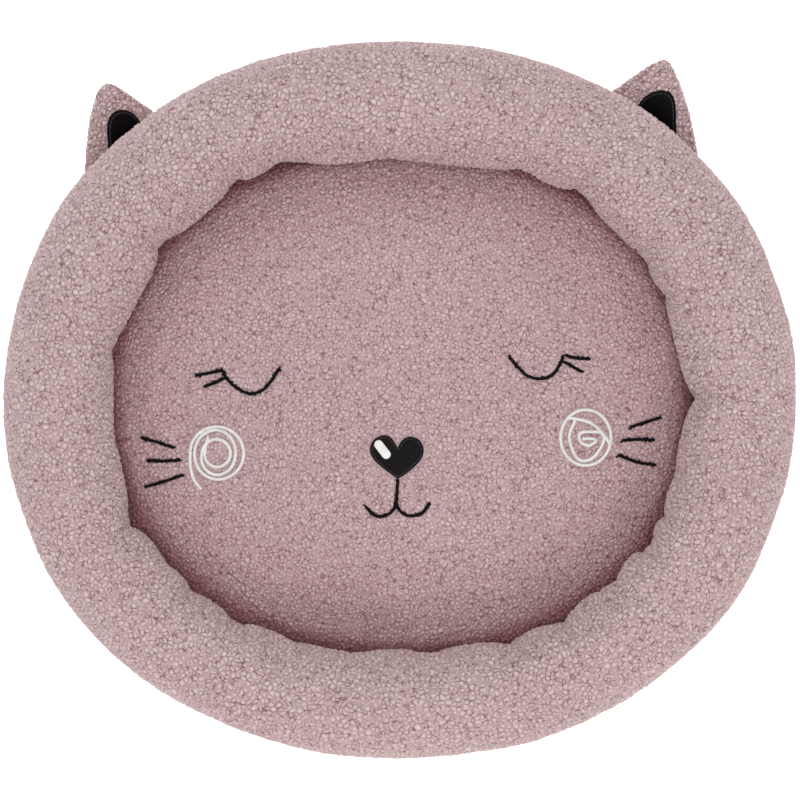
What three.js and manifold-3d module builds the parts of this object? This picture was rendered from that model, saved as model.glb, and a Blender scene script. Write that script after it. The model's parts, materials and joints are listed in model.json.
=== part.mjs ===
// An oval pet bed: a stuffed bolster round a stuffed floor cushion, with two padded ears sewn
// to the bolster's outer side and a sleeping cat's face stitched on the cushion.
// Millimetres, +Z up, origin on the floor under the centre, +Y towards the ears.
import * as THREE from "three";
import { mergeVertices } from "three/addons/utils/BufferGeometryUtils.js";
import Module from "manifold-3d";

const wasm = await Module();
wasm.setup();

// ---- Driving dimensions ----

const bedLength = 553; // overall, along X
const bedWidth = 500; // overall, along Y
const ovalPower = 2.1; // 2 is an ellipse, and more is squarer

const bolsterWidth = 78; // across the stuffed tube
const bolsterTop = 95; // above the floor
const undersidePower = 2.6; // how square the tube's lower half sits
const coverMouth = 40; // between the cover's two seams, under the tube

const fleeceThickness = 3;
const basePanelThickness = 2.5;
const basePanelMargin = 2.5; // past the cover's outer seam
const gap = 0.3; // between pieces that touch

const cushionCrown = 38; // top of the cushion at its centre
const cushionRim = 10; // top of the cushion at its edge
const cushionTuckHeight = 18; // where the cushion's edge meets the tube
const crownPower = 2.4;
const crownSlope = 0.55;

const earLength = 45; // from its seam to its tip
const leftEarWidth = 80; // along its seam
const rightEarWidth = 90;
const earTipOffset = 26; // tip towards the bed's middle line
const earSidePower = 0.8; // 1 is straight sides, less is fuller
const earLift = 30; // degrees above level
const earRootGap = 5; // from the seam to the padding
const earSeamHeight = 26;
const earSeamClearance = 0.8; // seam line outside the tube
const earPanelThickness = 2.2;
const earPuff = 4.4; // half the padding's thickness
const earPinch = 0.15; // half the gap between the panels at their edges
const earSwellAcross = 0.7; // how square the padding's swell is across the ear
const earSwellAlong = 0.6; // and along it
const earFillGap = 0.6;
const patchThickness = 1;
const patchGap = 0.8;
const patchSpread = 0.41; // share of the ear's width at its seam
const patchReach = 0.47; // share of the ear's length
const patchSidePower = 3.2; // how straight the patch's sides stay before its rounded end
const patchEndPower = 0.5;
const leftPatchShift = 8; // towards the tip's side
const rightPatchShift = 2.5;
const patchLean = 4.5; // its rounded end's shift, back from the tip's side
const leftEarTurn = 136; // degrees round the oval
const rightEarTurn = 49;

const blackThread = 2.2;
const whiteThread = 2.3;
const threadLift = 0.5; // from the fleece to a thread's lowest line
const threadStep = 3.6;
const threadSides = 6;
const appliqueLift = 0.8;
const appliqueThickness = 1.6;
const highlightWidth = 5.3;
const highlightThickness = 0.9;
const faceHalfLength = 204; // half axes of the cushion that the face's points are drawn for
const faceHalfWidth = 177;

const turnsRound = 56; // facets round the oval
const sectionPoints = 13; // odd, so that one is at the top
const cushionRings = [0.3, 0.55, 0.75, 0.88, 0.96, 1];
const swirlRingFacets = 20;
const highlightFacets = 12; // even
const curvePointsPerStep = 3;
const spiralRunPoints = 9; // points of the spiral in each of its swept runs

// ---- Colours ----

const fleecePink = 0xbb9e9f;
const cushionPink = 0xb99a9b;
const threadBlack = 0x1b181a;
const threadWhite = 0xe4e4e1;
const satinBlack = 0x0d0b0c;
const fibreWhite = 0xe9e7e3;
const baseGrey = 0x8d8688;

// ---- The oval and the tube's section ----

const radians = THREE.MathUtils.degToRad;
const signedPower = (value, power) => Math.sign(value) * Math.abs(value) ** power;

const tubeHalfWidth = bolsterWidth / 2;
const tubeBottom = basePanelThickness + gap;
const tubeHalfHeight = (bolsterTop - tubeBottom) / 2;
const tubeCentreHeight = (bolsterTop + tubeBottom) / 2;
const ringHalfLength = (bedLength - bolsterWidth) / 2;
const ringHalfWidth = (bedWidth - bolsterWidth) / 2;

function ovalPoint(halfLength, halfWidth, turn) {
  return new THREE.Vector2(
    halfLength * signedPower(Math.cos(turn), 2 / ovalPower),
    halfWidth * signedPower(Math.sin(turn), 2 / ovalPower),
  );
}

function ovalNormal(halfLength, halfWidth, turn) {
  const point = ovalPoint(halfLength, halfWidth, turn);
  return new THREE.Vector2(
    signedPower(point.x / halfLength, ovalPower - 1) / halfLength,
    signedPower(point.y / halfWidth, ovalPower - 1) / halfWidth,
  ).normalize();
}

// How far the tube reaches to each side of its centre line at a height.
function tubeReach(height) {
  const power = height < tubeCentreHeight ? undersidePower : 2;
  const share = Math.abs(height - tubeCentreHeight) / tubeHalfHeight;
  return tubeHalfWidth * (1 - share ** power) ** (1 / power);
}

// A point on the tube's section, as (distance outwards from the centre line, height).
function sectionPoint(angle, inset) {
  const power = Math.sin(angle) < 0 ? undersidePower : 2;
  return new THREE.Vector2(
    (tubeHalfWidth - inset) * signedPower(Math.cos(angle), 2 / power),
    tubeCentreHeight + (tubeHalfHeight - inset) * signedPower(Math.sin(angle), 2 / power),
  );
}

// ---- Making solids ----

// Lays a lathe's vertices out again: place takes the lathe's radius, turn and height.
function relaid(lathe, place) {
  const positions = lathe.attributes.position;
  for (let i = 0; i < positions.count; i += 1) {
    const radius = Math.hypot(positions.getX(i), positions.getZ(i));
    const turn = Math.atan2(-positions.getZ(i), positions.getX(i));
    positions.setXYZ(i, ...place(radius, turn, positions.getY(i)));
  }
  return merged(lathe);
}

function merged(geometry) {
  geometry.deleteAttribute("normal");
  geometry.deleteAttribute("uv");
  const whole = mergeVertices(geometry, 1e-3);
  whole.computeVertexNormals();
  return whole;
}

// Sweeps a closed section, given as (distance outwards, height), round the bolster's centre line.
function sweptRoundBed(section) {
  const latheRadius = bolsterWidth;
  const profile = section.map((p) => new THREE.Vector2(p.x + latheRadius, p.y));
  const lathe = new THREE.LatheGeometry(profile, turnsRound);
  return relaid(lathe, (radius, turn, height) => {
    const centre = ovalPoint(ringHalfLength, ringHalfWidth, turn);
    const normal = ovalNormal(ringHalfLength, ringHalfWidth, turn);
    centre.addScaledVector(normal, radius - latheRadius);
    return [centre.x, centre.y, height];
  });
}

// Turns a profile, given as (share of the half width, height), into an oval cushion.
function domed(profile) {
  const lathe = new THREE.LatheGeometry(profile, turnsRound);
  return relaid(lathe, (radius, turn, height) => {
    const edge = ovalPoint(cushionHalfLength, cushionHalfWidth, turn);
    return [edge.x * radius, edge.y * radius, height];
  });
}

function toManifold(geometry) {
  const whole = merged(geometry.clone());
  const mesh = new wasm.Mesh({
    numProp: 3,
    vertProperties: new Float32Array(whole.attributes.position.array),
    triVerts: new Uint32Array(whole.index.array),
  });
  return new wasm.Manifold(mesh);
}

function fromManifold(manifold) {
  const mesh = manifold.getMesh();
  const geometry = new THREE.BufferGeometry();
  geometry.setAttribute("position", new THREE.BufferAttribute(mesh.vertProperties, 3));
  geometry.setIndex(new THREE.BufferAttribute(mesh.triVerts, 1));
  geometry.computeVertexNormals();
  return geometry;
}

function joined(geometries) {
  return fromManifold(geometries.map(toManifold).reduce((sum, part) => sum.add(part)));
}

const bed = new THREE.Group();

function addMesh(name, geometry, color, roughness, metalness = 0) {
  const material = new THREE.MeshStandardMaterial({ color, roughness, metalness });
  const mesh = new THREE.Mesh(geometry, material);
  mesh.name = name;
  bed.add(mesh);
}

// ---- Base, bolster and cushion ----

const cushionHalfLength = ringHalfLength - tubeReach(cushionTuckHeight) - gap;
const cushionHalfWidth = ringHalfWidth - tubeReach(cushionTuckHeight) - gap;

function basePanel() {
  const outline = [];
  const margin = coverMouth / 2 + basePanelMargin;
  for (let i = 0; i < turnsRound; i += 1) {
    const turn = (i / turnsRound) * 2 * Math.PI;
    outline.push(ovalPoint(ringHalfLength + margin, ringHalfWidth + margin, turn));
  }
  return new THREE.ExtrudeGeometry(new THREE.Shape(outline), {
    depth: basePanelThickness,
    bevelEnabled: false,
  });
}

// One side of the cover's section, from its outer seam over the top to its inner seam.
function coverArc(inset) {
  const share = coverMouth / 2 / (tubeHalfWidth - inset);
  const seamAngle = -Math.acos(share ** (undersidePower / 2));
  const points = [];
  for (let i = 0; i < sectionPoints; i += 1) {
    const along = i / (sectionPoints - 1);
    const angle = THREE.MathUtils.lerp(seamAngle, Math.PI - seamAngle, along);
    points.push(sectionPoint(angle, inset));
  }
  return points;
}

function bolsterCover() {
  const outside = coverArc(0);
  const inside = coverArc(fleeceThickness).reverse();
  return sweptRoundBed([...outside, ...inside, outside[0]]);
}

// The filling follows the cover's inside and is flat across the cover's mouth.
function bolsterFill() {
  const points = coverArc(fleeceThickness + gap);
  return sweptRoundBed([...points, points[0]]);
}

// Height of the cushion's top, from 0 at its centre to 1 at its edge.
function crownHeight(share) {
  const fall = (1 - Math.min(share, 1) ** crownPower) ** crownSlope;
  return cushionRim + (cushionCrown - cushionRim) * fall;
}

function cushionTop(x, y) {
  const across = Math.abs(x / cushionHalfLength) ** ovalPower;
  const along = Math.abs(y / cushionHalfWidth) ** ovalPower;
  return crownHeight((across + along) ** (1 / ovalPower));
}

function crownProfile(drop) {
  return [0, ...cushionRings].map((share) => new THREE.Vector2(share, crownHeight(share) - drop));
}

function cushionPanel() {
  return domed([...crownProfile(fleeceThickness), ...crownProfile(0).reverse()]);
}

function cushionFill() {
  const floor = basePanelThickness + gap;
  const underside = [new THREE.Vector2(0, floor), new THREE.Vector2(1, floor)];
  return domed([...underside, ...crownProfile(fleeceThickness + gap).reverse()]);
}

addMesh("base_panel", basePanel(), baseGrey, 0.9);
addMesh("bolster_cover", bolsterCover(), fleecePink, 0.95);
addMesh("bolster_fill", bolsterFill(), fibreWhite, 1);
addMesh("cushion_panel", cushionPanel(), cushionPink, 0.95);
addMesh("cushion_fill", cushionFill(), fibreWhite, 1);

// ---- Ears ----

// An ear's own axes: u along its seam, v out to its tip, w off its front.
function earFrame(turn) {
  const centre = ovalPoint(ringHalfLength, ringHalfWidth, turn);
  const normal = ovalNormal(ringHalfLength, ringHalfWidth, turn);
  centre.addScaledVector(normal, tubeReach(earSeamHeight) + earSeamClearance);
  const outward = new THREE.Vector3(normal.x, normal.y, 0);
  const up = new THREE.Vector3(0, 0, 1);
  const u = new THREE.Vector3().crossVectors(outward, up);
  const v = outward.clone().multiplyScalar(Math.cos(radians(earLift)));
  v.addScaledVector(up, Math.sin(radians(earLift)));
  const w = new THREE.Vector3().crossVectors(u, v);
  const frame = new THREE.Matrix4().makeBasis(u, v, w);
  return frame.setPosition(centre.x, centre.y, earSeamHeight);
}

// How far the bolster falls back from the seam's straight line, at a distance along it.
function seamFallBack(distance) {
  const across = ringHalfLength + tubeReach(earSeamHeight);
  const along = ringHalfWidth + tubeReach(earSeamHeight);
  const radius = (across ** 2 + along ** 2) / (across + along);
  return radius - Math.sqrt(radius ** 2 - distance ** 2);
}

// A point of the ear's plan: s runs from -1 to 1 across it, and t from 0 at its root to 1 at its tip.
function earPlan(s, t, width, tipOffset) {
  const rootU = (s * width) / 2;
  const rootV = earRootGap - seamFallBack(rootU);
  const narrowing = (1 - t) ** earSidePower;
  const u = rootU * narrowing + tipOffset * (1 - narrowing);
  const v = THREE.MathUtils.lerp(rootV, earLength, t);
  return [u, v];
}

// Half the ear's inner thickness.
function earSwell(s, t) {
  const across = Math.max(1 - s * s, 0) ** earSwellAcross;
  const along = (4 * t * (1 - t)) ** earSwellAlong;
  return earPinch + earPuff * across * along;
}

const earAcross = [-1, -0.8, -0.5, -0.2, 0.2, 0.5, 0.8, 1];
const earAlong = [0, 0.1, 0.25, 0.45, 0.65, 0.82, 0.97];
const earFillAcross = earAcross.slice(1, -1);
const earFillAlong = earAlong.slice(1, -1);
const patchAcross = [-1, -0.75, -0.4, 0, 0.4, 0.75, 1];
const patchAlong = [0.12, 0.3, 0.48, 0.66, 0.8, 0.9, 0.97].map((share) => share * patchReach);

// A padded sheet over a grid: place gives the plan, and low and high give its two faces.
function quilted(acrossLines, alongLines, place, low, high) {
  const columns = acrossLines.length - 1;
  const rows = alongLines.length - 1;
  const box = new THREE.BoxGeometry(1, 1, 1, columns, rows, 1);
  const positions = box.attributes.position;
  for (let i = 0; i < positions.count; i += 1) {
    const s = acrossLines[Math.round((positions.getX(i) + 0.5) * columns)];
    const t = alongLines[Math.round((positions.getY(i) + 0.5) * rows)];
    const height = positions.getZ(i) > 0 ? high(s, t) : low(s, t);
    positions.setXYZ(i, ...place(s, t), height);
  }
  return merged(box);
}

function patchShare(s, t) {
  return s * patchSpread * (1 - (t / patchReach) ** patchSidePower) ** patchEndPower;
}

function addEar(side, turn, width, tipOffset, patchShift) {
  const frame = earFrame(radians(turn));
  const place = (s, t) => earPlan(s, t, width, tipOffset);
  const placePatch = (s, t) => {
    const [u, v] = place(patchShare(s, t), t);
    const lean = patchLean * (t / patchReach) ** 2;
    return [u + Math.sign(tipOffset) * (patchShift - lean), v];
  };
  const panelTop = (s, t) => earSwell(s, t) + earPanelThickness;
  const patchLow = (s, t) => panelTop(0, t) + patchGap;
  const patchHigh = (s, t) => patchLow(s, t) + patchThickness;
  const fillHalf = (s, t) => earSwell(s, t) - earFillGap;
  const minus = (height) => (s, t) => -height(s, t);
  const pieces = {
    front_panel: [quilted(earAcross, earAlong, place, earSwell, panelTop), cushionPink],
    back_panel: [quilted(earAcross, earAlong, place, minus(panelTop), minus(earSwell)), cushionPink],
    fill: [quilted(earFillAcross, earFillAlong, place, minus(fillHalf), fillHalf), fibreWhite],
    inner_patch: [quilted(patchAcross, patchAlong, placePatch, patchLow, patchHigh), satinBlack],
  };
  for (const [name, [geometry, color]] of Object.entries(pieces)) {
    addMesh(`${side}_ear_${name}`, geometry.applyMatrix4(frame), color, 0.9);
  }
}

addEar("left", leftEarTurn, leftEarWidth, earTipOffset, leftPatchShift);
addEar("right", rightEarTurn, rightEarWidth, -earTipOffset, rightPatchShift);

// ---- The face, drawn for a cushion of set half axes and stretched to fit ----

const faceStretchX = cushionHalfLength / faceHalfLength;
const faceStretchY = cushionHalfWidth / faceHalfWidth;

function facePoint([x, y], lift) {
  const across = x * faceStretchX;
  const along = y * faceStretchY;
  return new THREE.Vector3(across, along, cushionTop(across, along) + lift);
}

function threadSection(width) {
  const corners = [];
  for (let i = 0; i < threadSides; i += 1) {
    const angle = (i / threadSides) * 2 * Math.PI;
    corners.push(new THREE.Vector2(Math.cos(angle), Math.sin(angle)).multiplyScalar(width / 2));
  }
  return new THREE.Shape(corners);
}

// A raised run of stitches through points of the face.
function thread(points, width) {
  const places = points.map((point) => facePoint(point, width / 2 + threadLift));
  const path = new THREE.CatmullRomCurve3(places, false, "centripetal");
  const steps = Math.max(2, Math.round(path.getLength() / threadStep));
  return new THREE.ExtrudeGeometry(threadSection(width), {
    steps,
    extrudePath: path,
    bevelEnabled: false,
  });
}

// A closed ring of stitches: an ellipse given by its centre and half axes.
function threadRing(centre, halfAxes, width) {
  const torus = new THREE.TorusGeometry(1, 0.5, threadSides, swirlRingFacets);
  const positions = torus.attributes.position;
  for (let i = 0; i < positions.count; i += 1) {
    const turn = Math.atan2(positions.getY(i), positions.getX(i));
    const aside = (Math.hypot(positions.getX(i), positions.getY(i)) - 1) * width;
    const x = centre[0] + Math.cos(turn) * halfAxes[0];
    const y = centre[1] + Math.sin(turn) * halfAxes[1];
    const place = facePoint([x, y], width / 2 + threadLift);
    place.x += Math.cos(turn) * aside;
    place.y += Math.sin(turn) * aside;
    place.z += positions.getZ(i) * width;
    positions.setXYZ(i, place.x, place.y, place.z);
  }
  return merged(torus);
}

// A flat applique laid on the cushion, with its underside at a lift.
function applique(outline, lift, thickness) {
  const shape = new THREE.Shape(outline.map((p) => new THREE.Vector2(p[0], p[1])));
  const flat = new THREE.ExtrudeGeometry(shape, { depth: thickness, bevelEnabled: false });
  const positions = flat.attributes.position;
  for (let i = 0; i < positions.count; i += 1) {
    const place = facePoint([positions.getX(i), positions.getY(i)], lift + positions.getZ(i));
    positions.setXYZ(i, place.x, place.y, place.z);
  }
  return merged(flat);
}

const blackLines = {
  left_eye_lid: [[-123, 20], [-120, 14], [-114, 8], [-105, 4], [-96, 6.5], [-90, 13], [-84, 22]],
  left_eye_upper_lash: [[-143, 17], [-134.5, 18.3], [-126.5, 20.5]],
  left_eye_lower_lash: [[-137, 9], [-130, 11.5], [-124.8, 14]],
  right_eye_lid: [[76, 30], [82, 23], [89, 16.5], [98, 14.4], [106, 17], [111, 23], [114.5, 31]],
  right_eye_upper_lash: [[118, 30.2], [124, 29], [132.6, 28.3]],
  right_eye_lower_lash: [[116.5, 25.8], [121.5, 22.5], [128, 19]],
  left_whisker_upper: [[-181, -27], [-170, -30], [-158, -34]],
  left_whisker_middle: [[-177.5, -43], [-166, -43.2], [-154, -42.6]],
  left_whisker_lower: [[-179, -61.4], [-165, -57.4], [-151.6, -52.6]],
  right_whisker_upper: [[160.7, -19.7], [172, -16], [183, -12.7]],
  right_whisker_middle: [[155, -28.8], [166, -28], [178, -28.4]],
  right_whisker_lower: [[152.7, -39], [166, -43.8], [179.5, -46]],
  mouth_stem: [[-1.4, -58.6], [-2.2, -65], [-2.5, -71.5]],
  mouth_left_curl: [[-4.2, -75], [-8.5, -80], [-14, -82], [-19.5, -79.5], [-24.6, -74]],
  mouth_right_curl: [[-0.6, -75.4], [5, -81], [11, -81.4], [16, -78.5], [20.4, -73.3]],
};

for (const [name, points] of Object.entries(blackLines)) {
  addMesh(name, thread(points, blackThread), threadBlack, 0.6);
}

// The left cheek is a scribbled spiral: its distance from its centre at each quarter turn.
const leftCheekCentre = [-128.7, -37.6];
const leftCheekReach = [18.3, 18.5, 19.4, 18.3, 15.2, 16.2, 13.6, 15.2, 10.1, 9.8, 10, 9.7, 7.9];
const leftCheekTail = [[-139.4, -62.8], [-144.5, -56], [-146.8, -47]];
const leftCheekSpur = [[-136.3, -33], [-134.3, -26]];

function spiralPoints(centre, reach) {
  return reach.map((distance, quarter) => {
    const turn = Math.PI - (quarter * Math.PI) / 2;
    return [centre[0] + distance * Math.cos(turn), centre[1] + distance * Math.sin(turn)];
  });
}

// Points a quarter turn apart are too few for one smooth run, so those between are added.
function smoothed(points) {
  const path = new THREE.SplineCurve(points.map((p) => new THREE.Vector2(p[0], p[1])));
  return path.getPoints((points.length - 1) * curvePointsPerStep).map((p) => [p.x, p.y]);
}

function leftCheek() {
  const spiral = spiralPoints(leftCheekCentre, leftCheekReach);
  const route = smoothed([...leftCheekTail, ...spiral, ...leftCheekSpur]);
  const runs = [];
  for (let first = 0; first < route.length - 1; first += spiralRunPoints) {
    runs.push(thread(route.slice(first, first + spiralRunPoints + 1), whiteThread));
  }
  return joined(runs);
}

function rightCheek() {
  const centre = [130, -26.7];
  const ring = threadRing(centre, [17.7, 19.5], whiteThread);
  const chord = [[116.8, -12.9], [125, -13.9], [134.6, -17.2], [143.2, -25.4], [147, -32]];
  const loop = [[122.5, -14.2], [118.4, -27.5], [125, -42], [135.4, -40.4], [142.6, -28], [135, -22.6]];
  const hook = [[135, -22.6], [127.5, -22.9], [126.5, -30], [132, -32.6], [137, -28.5], [131, -26.6]];
  return joined([ring, ...[chord, loop, hook].map((points) => thread(points, whiteThread))]);
}

addMesh("left_cheek_swirl", leftCheek(), threadWhite, 0.6);
addMesh("right_cheek_swirl", rightCheek(), threadWhite, 0.6);

// The nose: a heart, drawn as a smooth curve down each side from its notch to its tip.
const heartNotch = [-1.7, -33.8];
const heartTip = [-1.4, -55.6];
const heartLeft = [[-6, -27], [-11.8, -25], [-18.5, -28.5], [-21, -35.6], [-17.5, -43], [-8, -51]];
const heartRight = [[2, -28], [7.9, -26], [14, -29], [16.6, -36], [13.5, -43.5], [5.5, -51]];
const heartPointsPerSide = 12;

function heartSide(points) {
  const route = [heartNotch, ...points, heartTip].map((p) => new THREE.Vector2(p[0], p[1]));
  return new THREE.SplineCurve(route).getPoints(heartPointsPerSide);
}

function heartOutline() {
  const left = heartSide(heartLeft);
  const right = heartSide(heartRight).reverse();
  return [...left, ...right.slice(1, -1)].map((p) => [p.x, p.y]);
}

function highlightOutline() {
  const ends = [[-15.2, -31.4], [-9.4, -39]];
  const lean = Math.atan2(ends[1][1] - ends[0][1], ends[1][0] - ends[0][0]);
  const outline = [];
  for (let i = 0; i < highlightFacets; i += 1) {
    const angle = lean + Math.PI / 2 + ((i + 0.5) / highlightFacets) * 2 * Math.PI;
    const end = i < highlightFacets / 2 ? ends[0] : ends[1];
    const reach = highlightWidth / 2;
    outline.push([end[0] + reach * Math.cos(angle), end[1] + reach * Math.sin(angle)]);
  }
  return outline;
}

const highlightLift = appliqueLift + appliqueThickness + gap;
addMesh("nose_heart", applique(heartOutline(), appliqueLift, appliqueThickness), satinBlack, 0.4);
addMesh(
  "nose_highlight",
  applique(highlightOutline(), highlightLift, highlightThickness),
  threadWhite,
  0.6,
);

export default bed;
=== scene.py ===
"""An oval pet bed in curly fleece: a stuffed bolster round a floor cushion with a sleeping cat's face
stitched on it, and two padded ears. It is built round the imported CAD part: metres, +Z up, ears at +Y."""

import itertools
import json
import math

import bmesh
import bpy
import numpy as np
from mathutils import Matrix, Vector
from mathutils.bvhtree import BVHTree


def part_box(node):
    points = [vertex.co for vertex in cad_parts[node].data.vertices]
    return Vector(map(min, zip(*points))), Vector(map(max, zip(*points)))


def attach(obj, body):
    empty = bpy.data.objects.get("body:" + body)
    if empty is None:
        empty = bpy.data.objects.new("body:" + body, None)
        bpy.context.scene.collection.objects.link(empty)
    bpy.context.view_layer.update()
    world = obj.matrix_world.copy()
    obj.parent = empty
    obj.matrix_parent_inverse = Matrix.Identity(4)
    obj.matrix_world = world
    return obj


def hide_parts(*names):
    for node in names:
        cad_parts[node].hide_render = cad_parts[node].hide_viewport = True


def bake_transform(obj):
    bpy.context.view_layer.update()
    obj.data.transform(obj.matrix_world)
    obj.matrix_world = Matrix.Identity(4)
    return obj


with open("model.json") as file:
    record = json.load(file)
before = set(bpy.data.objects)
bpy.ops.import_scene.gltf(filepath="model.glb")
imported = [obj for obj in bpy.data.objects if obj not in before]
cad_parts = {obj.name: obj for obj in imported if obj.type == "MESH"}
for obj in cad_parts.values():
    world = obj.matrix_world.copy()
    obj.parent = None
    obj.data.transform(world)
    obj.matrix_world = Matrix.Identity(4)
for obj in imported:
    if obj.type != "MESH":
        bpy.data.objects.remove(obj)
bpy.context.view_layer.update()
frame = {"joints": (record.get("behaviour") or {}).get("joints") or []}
MM = 0.001
UV_MAP = "OFBake"
PILE = "pile"  # how free the pile stands, from 0 under a stitch to 1
REST = "rest"  # where the skin was before its curls were raised
RIM_SHADE = "tuck"  # how near the cushion's rim, for painted shade in the fold beside the bolster

# ---- Sizes, from the CAD nodes' boxes and the CAD source's driving dimensions ----

FACET_LOSS = 0.8 * MM  # the CAD's flat facets cut this much off its curves
OVAL_POWER = 2.1
UNDERSIDE_POWER = 2.6
TUBE_HALF_WIDTH = 39 * MM
COVER_MARGIN = 22.5 * MM  # the base panel's edge, outside the tube's centre line
CROWN_POWER = 2.4
CROWN_SLOPE = 0.55

cover_low, cover_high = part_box("bolster_cover")
base_low, base_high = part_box("base_panel")
cushion_low, cushion_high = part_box("cushion_panel")
RING = (
    (cover_high.x - cover_low.x) / 2 + FACET_LOSS - TUBE_HALF_WIDTH,
    (cover_high.y - cover_low.y) / 2 + FACET_LOSS - TUBE_HALF_WIDTH,
)
TUBE_FLOOR = base_high.z + 0.3 * MM
TUBE_HALF_HEIGHT = (cover_high.z - TUBE_FLOOR) / 2
TUBE_CENTRE = (cover_high.z + TUBE_FLOOR) / 2
CUSHION = (
    (cushion_high.x - cushion_low.x) / 2 + 0.3 * MM,
    (cushion_high.y - cushion_low.y) / 2 + 0.3 * MM,
)
CUSHION_TOP = cushion_high.z
CUSHION_RIM = 10 * MM


# ---- Noise and cells, worked out on whole arrays of points ----


def hashed(cells, seed):
    """Three steady random numbers from 0 to 1 for each whole-number cell."""
    x, y, z = (cells[:, i].astype(np.uint32) for i in range(3))
    mixed = x * np.uint32(73856093) ^ y * np.uint32(19349663) ^ z * np.uint32(83492791)
    mixed ^= np.uint32(seed * 9781 + 1)
    made = []
    for _ in range(3):
        mixed = (mixed ^ (mixed >> np.uint32(15))) * np.uint32(2246822519)
        mixed = (mixed ^ (mixed >> np.uint32(13))) * np.uint32(3266489917)
        mixed = mixed ^ (mixed >> np.uint32(16))
        made.append((mixed & np.uint32(0xFFFFFF)).astype(np.float32) / np.float32(1 << 24))
    return np.stack(made, axis=1)


def noise(points, size, seed):
    """Three smooth noises from -1 to 1 at each point, with hills about a size apart."""
    scaled = points / size
    base = np.floor(scaled)
    part = scaled - base
    part = (part * part * (3 - 2 * part)).astype(np.float32)
    base = base.astype(np.int64)
    total = np.zeros((len(points), 3), np.float32)
    for corner in itertools.product((0, 1), repeat=3):
        weight = np.prod(np.where(corner, part, 1 - part), axis=1)
        total += weight[:, None] * hashed(base + np.array(corner), seed)
    return total * 2 - 1


def smoothstep(low, high, values):
    share = np.clip((values - low) / (high - low), 0, 1)
    return share * share * (3 - 2 * share)


def signed_power(values, power):
    return np.sign(values) * np.abs(values) ** power


# ---- Mesh tools ----


def vertices_of(mesh):
    flat = np.empty(len(mesh.vertices) * 3, np.float32)
    mesh.vertices.foreach_get("co", flat)
    return flat.reshape(-1, 3).astype(float)


def set_vertices(mesh, points):
    mesh.vertices.foreach_set("co", np.asarray(points, np.float32).ravel())
    mesh.update()


def normals_of(mesh):
    flat = np.empty(len(mesh.vertices) * 3, np.float32)
    mesh.vertex_normals.foreach_get("vector", flat)
    return flat.reshape(-1, 3).astype(float)


def uv_of(mesh):
    """Each vertex's place in the UV map. Where the map is cut it is one side's."""
    corners = np.empty(len(mesh.loops), np.int32)
    mesh.loops.foreach_get("vertex_index", corners)
    flat = np.empty(len(mesh.loops) * 2, np.float32)
    mesh.uv_layers[UV_MAP].data.foreach_get("uv", flat)
    places = np.zeros((len(mesh.vertices), 2))
    places[corners] = flat.reshape(-1, 2)
    return places


def store(mesh, name, values):
    """Keeps a number, or a place, for each vertex, for the material to read."""
    values = np.asarray(values, np.float32)
    kind, field = ("FLOAT", "value") if values.ndim == 1 else ("FLOAT_VECTOR", "vector")
    attribute = mesh.attributes.get(name) or mesh.attributes.new(name, kind, "POINT")
    attribute.data.foreach_set(field, values.ravel())


def new_piece(name, points, faces, materials, uvs=None):
    """A mesh object from points and faces. uvs hold one place for each corner of each face."""
    mesh = bpy.data.meshes.new(name)
    mesh.from_pydata(np.asarray(points).tolist(), [], np.asarray(faces).tolist())
    if uvs is not None:
        layer = mesh.uv_layers.new(name=UV_MAP)
        layer.data.foreach_set("uv", np.asarray(uvs, np.float32).ravel())
    for material in materials:
        mesh.materials.append(material)
    mesh.shade_smooth()
    mesh.update()
    piece = bpy.data.objects.new(name, mesh)
    bpy.context.scene.collection.objects.link(piece)
    return piece


def grid_faces(rows, columns, wrap_rows=False, wrap_columns=False):
    """Quads of a grid of points, and each corner's row and column share for a UV map."""
    row_count = rows if wrap_rows else rows - 1
    column_count = columns if wrap_columns else columns - 1
    row, column = np.meshgrid(np.arange(row_count), np.arange(column_count), indexing="ij")
    row, column = row.ravel(), column.ravel()
    corners = [(row, column), (row, column + 1), (row + 1, column + 1), (row + 1, column)]
    faces = np.stack([(r % rows) * columns + c % columns for r, c in corners], axis=1)
    uvs = np.stack(
        [np.stack([c / column_count, r / row_count], axis=1) for r, c in corners], axis=1
    )
    return faces, uvs


def refined(piece, levels):
    """Subdivides the piece smoothly, for good."""
    modifier = piece.modifiers.new("refine", "SUBSURF")
    modifier.levels = levels
    modifier.render_levels = levels
    graph = bpy.context.evaluated_depsgraph_get()
    mesh = bpy.data.meshes.new_from_object(piece.evaluated_get(graph))
    piece.modifiers.clear()
    old = piece.data
    piece.data = mesh
    bpy.data.meshes.remove(old)
    mesh.shade_smooth()
    return piece


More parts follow.
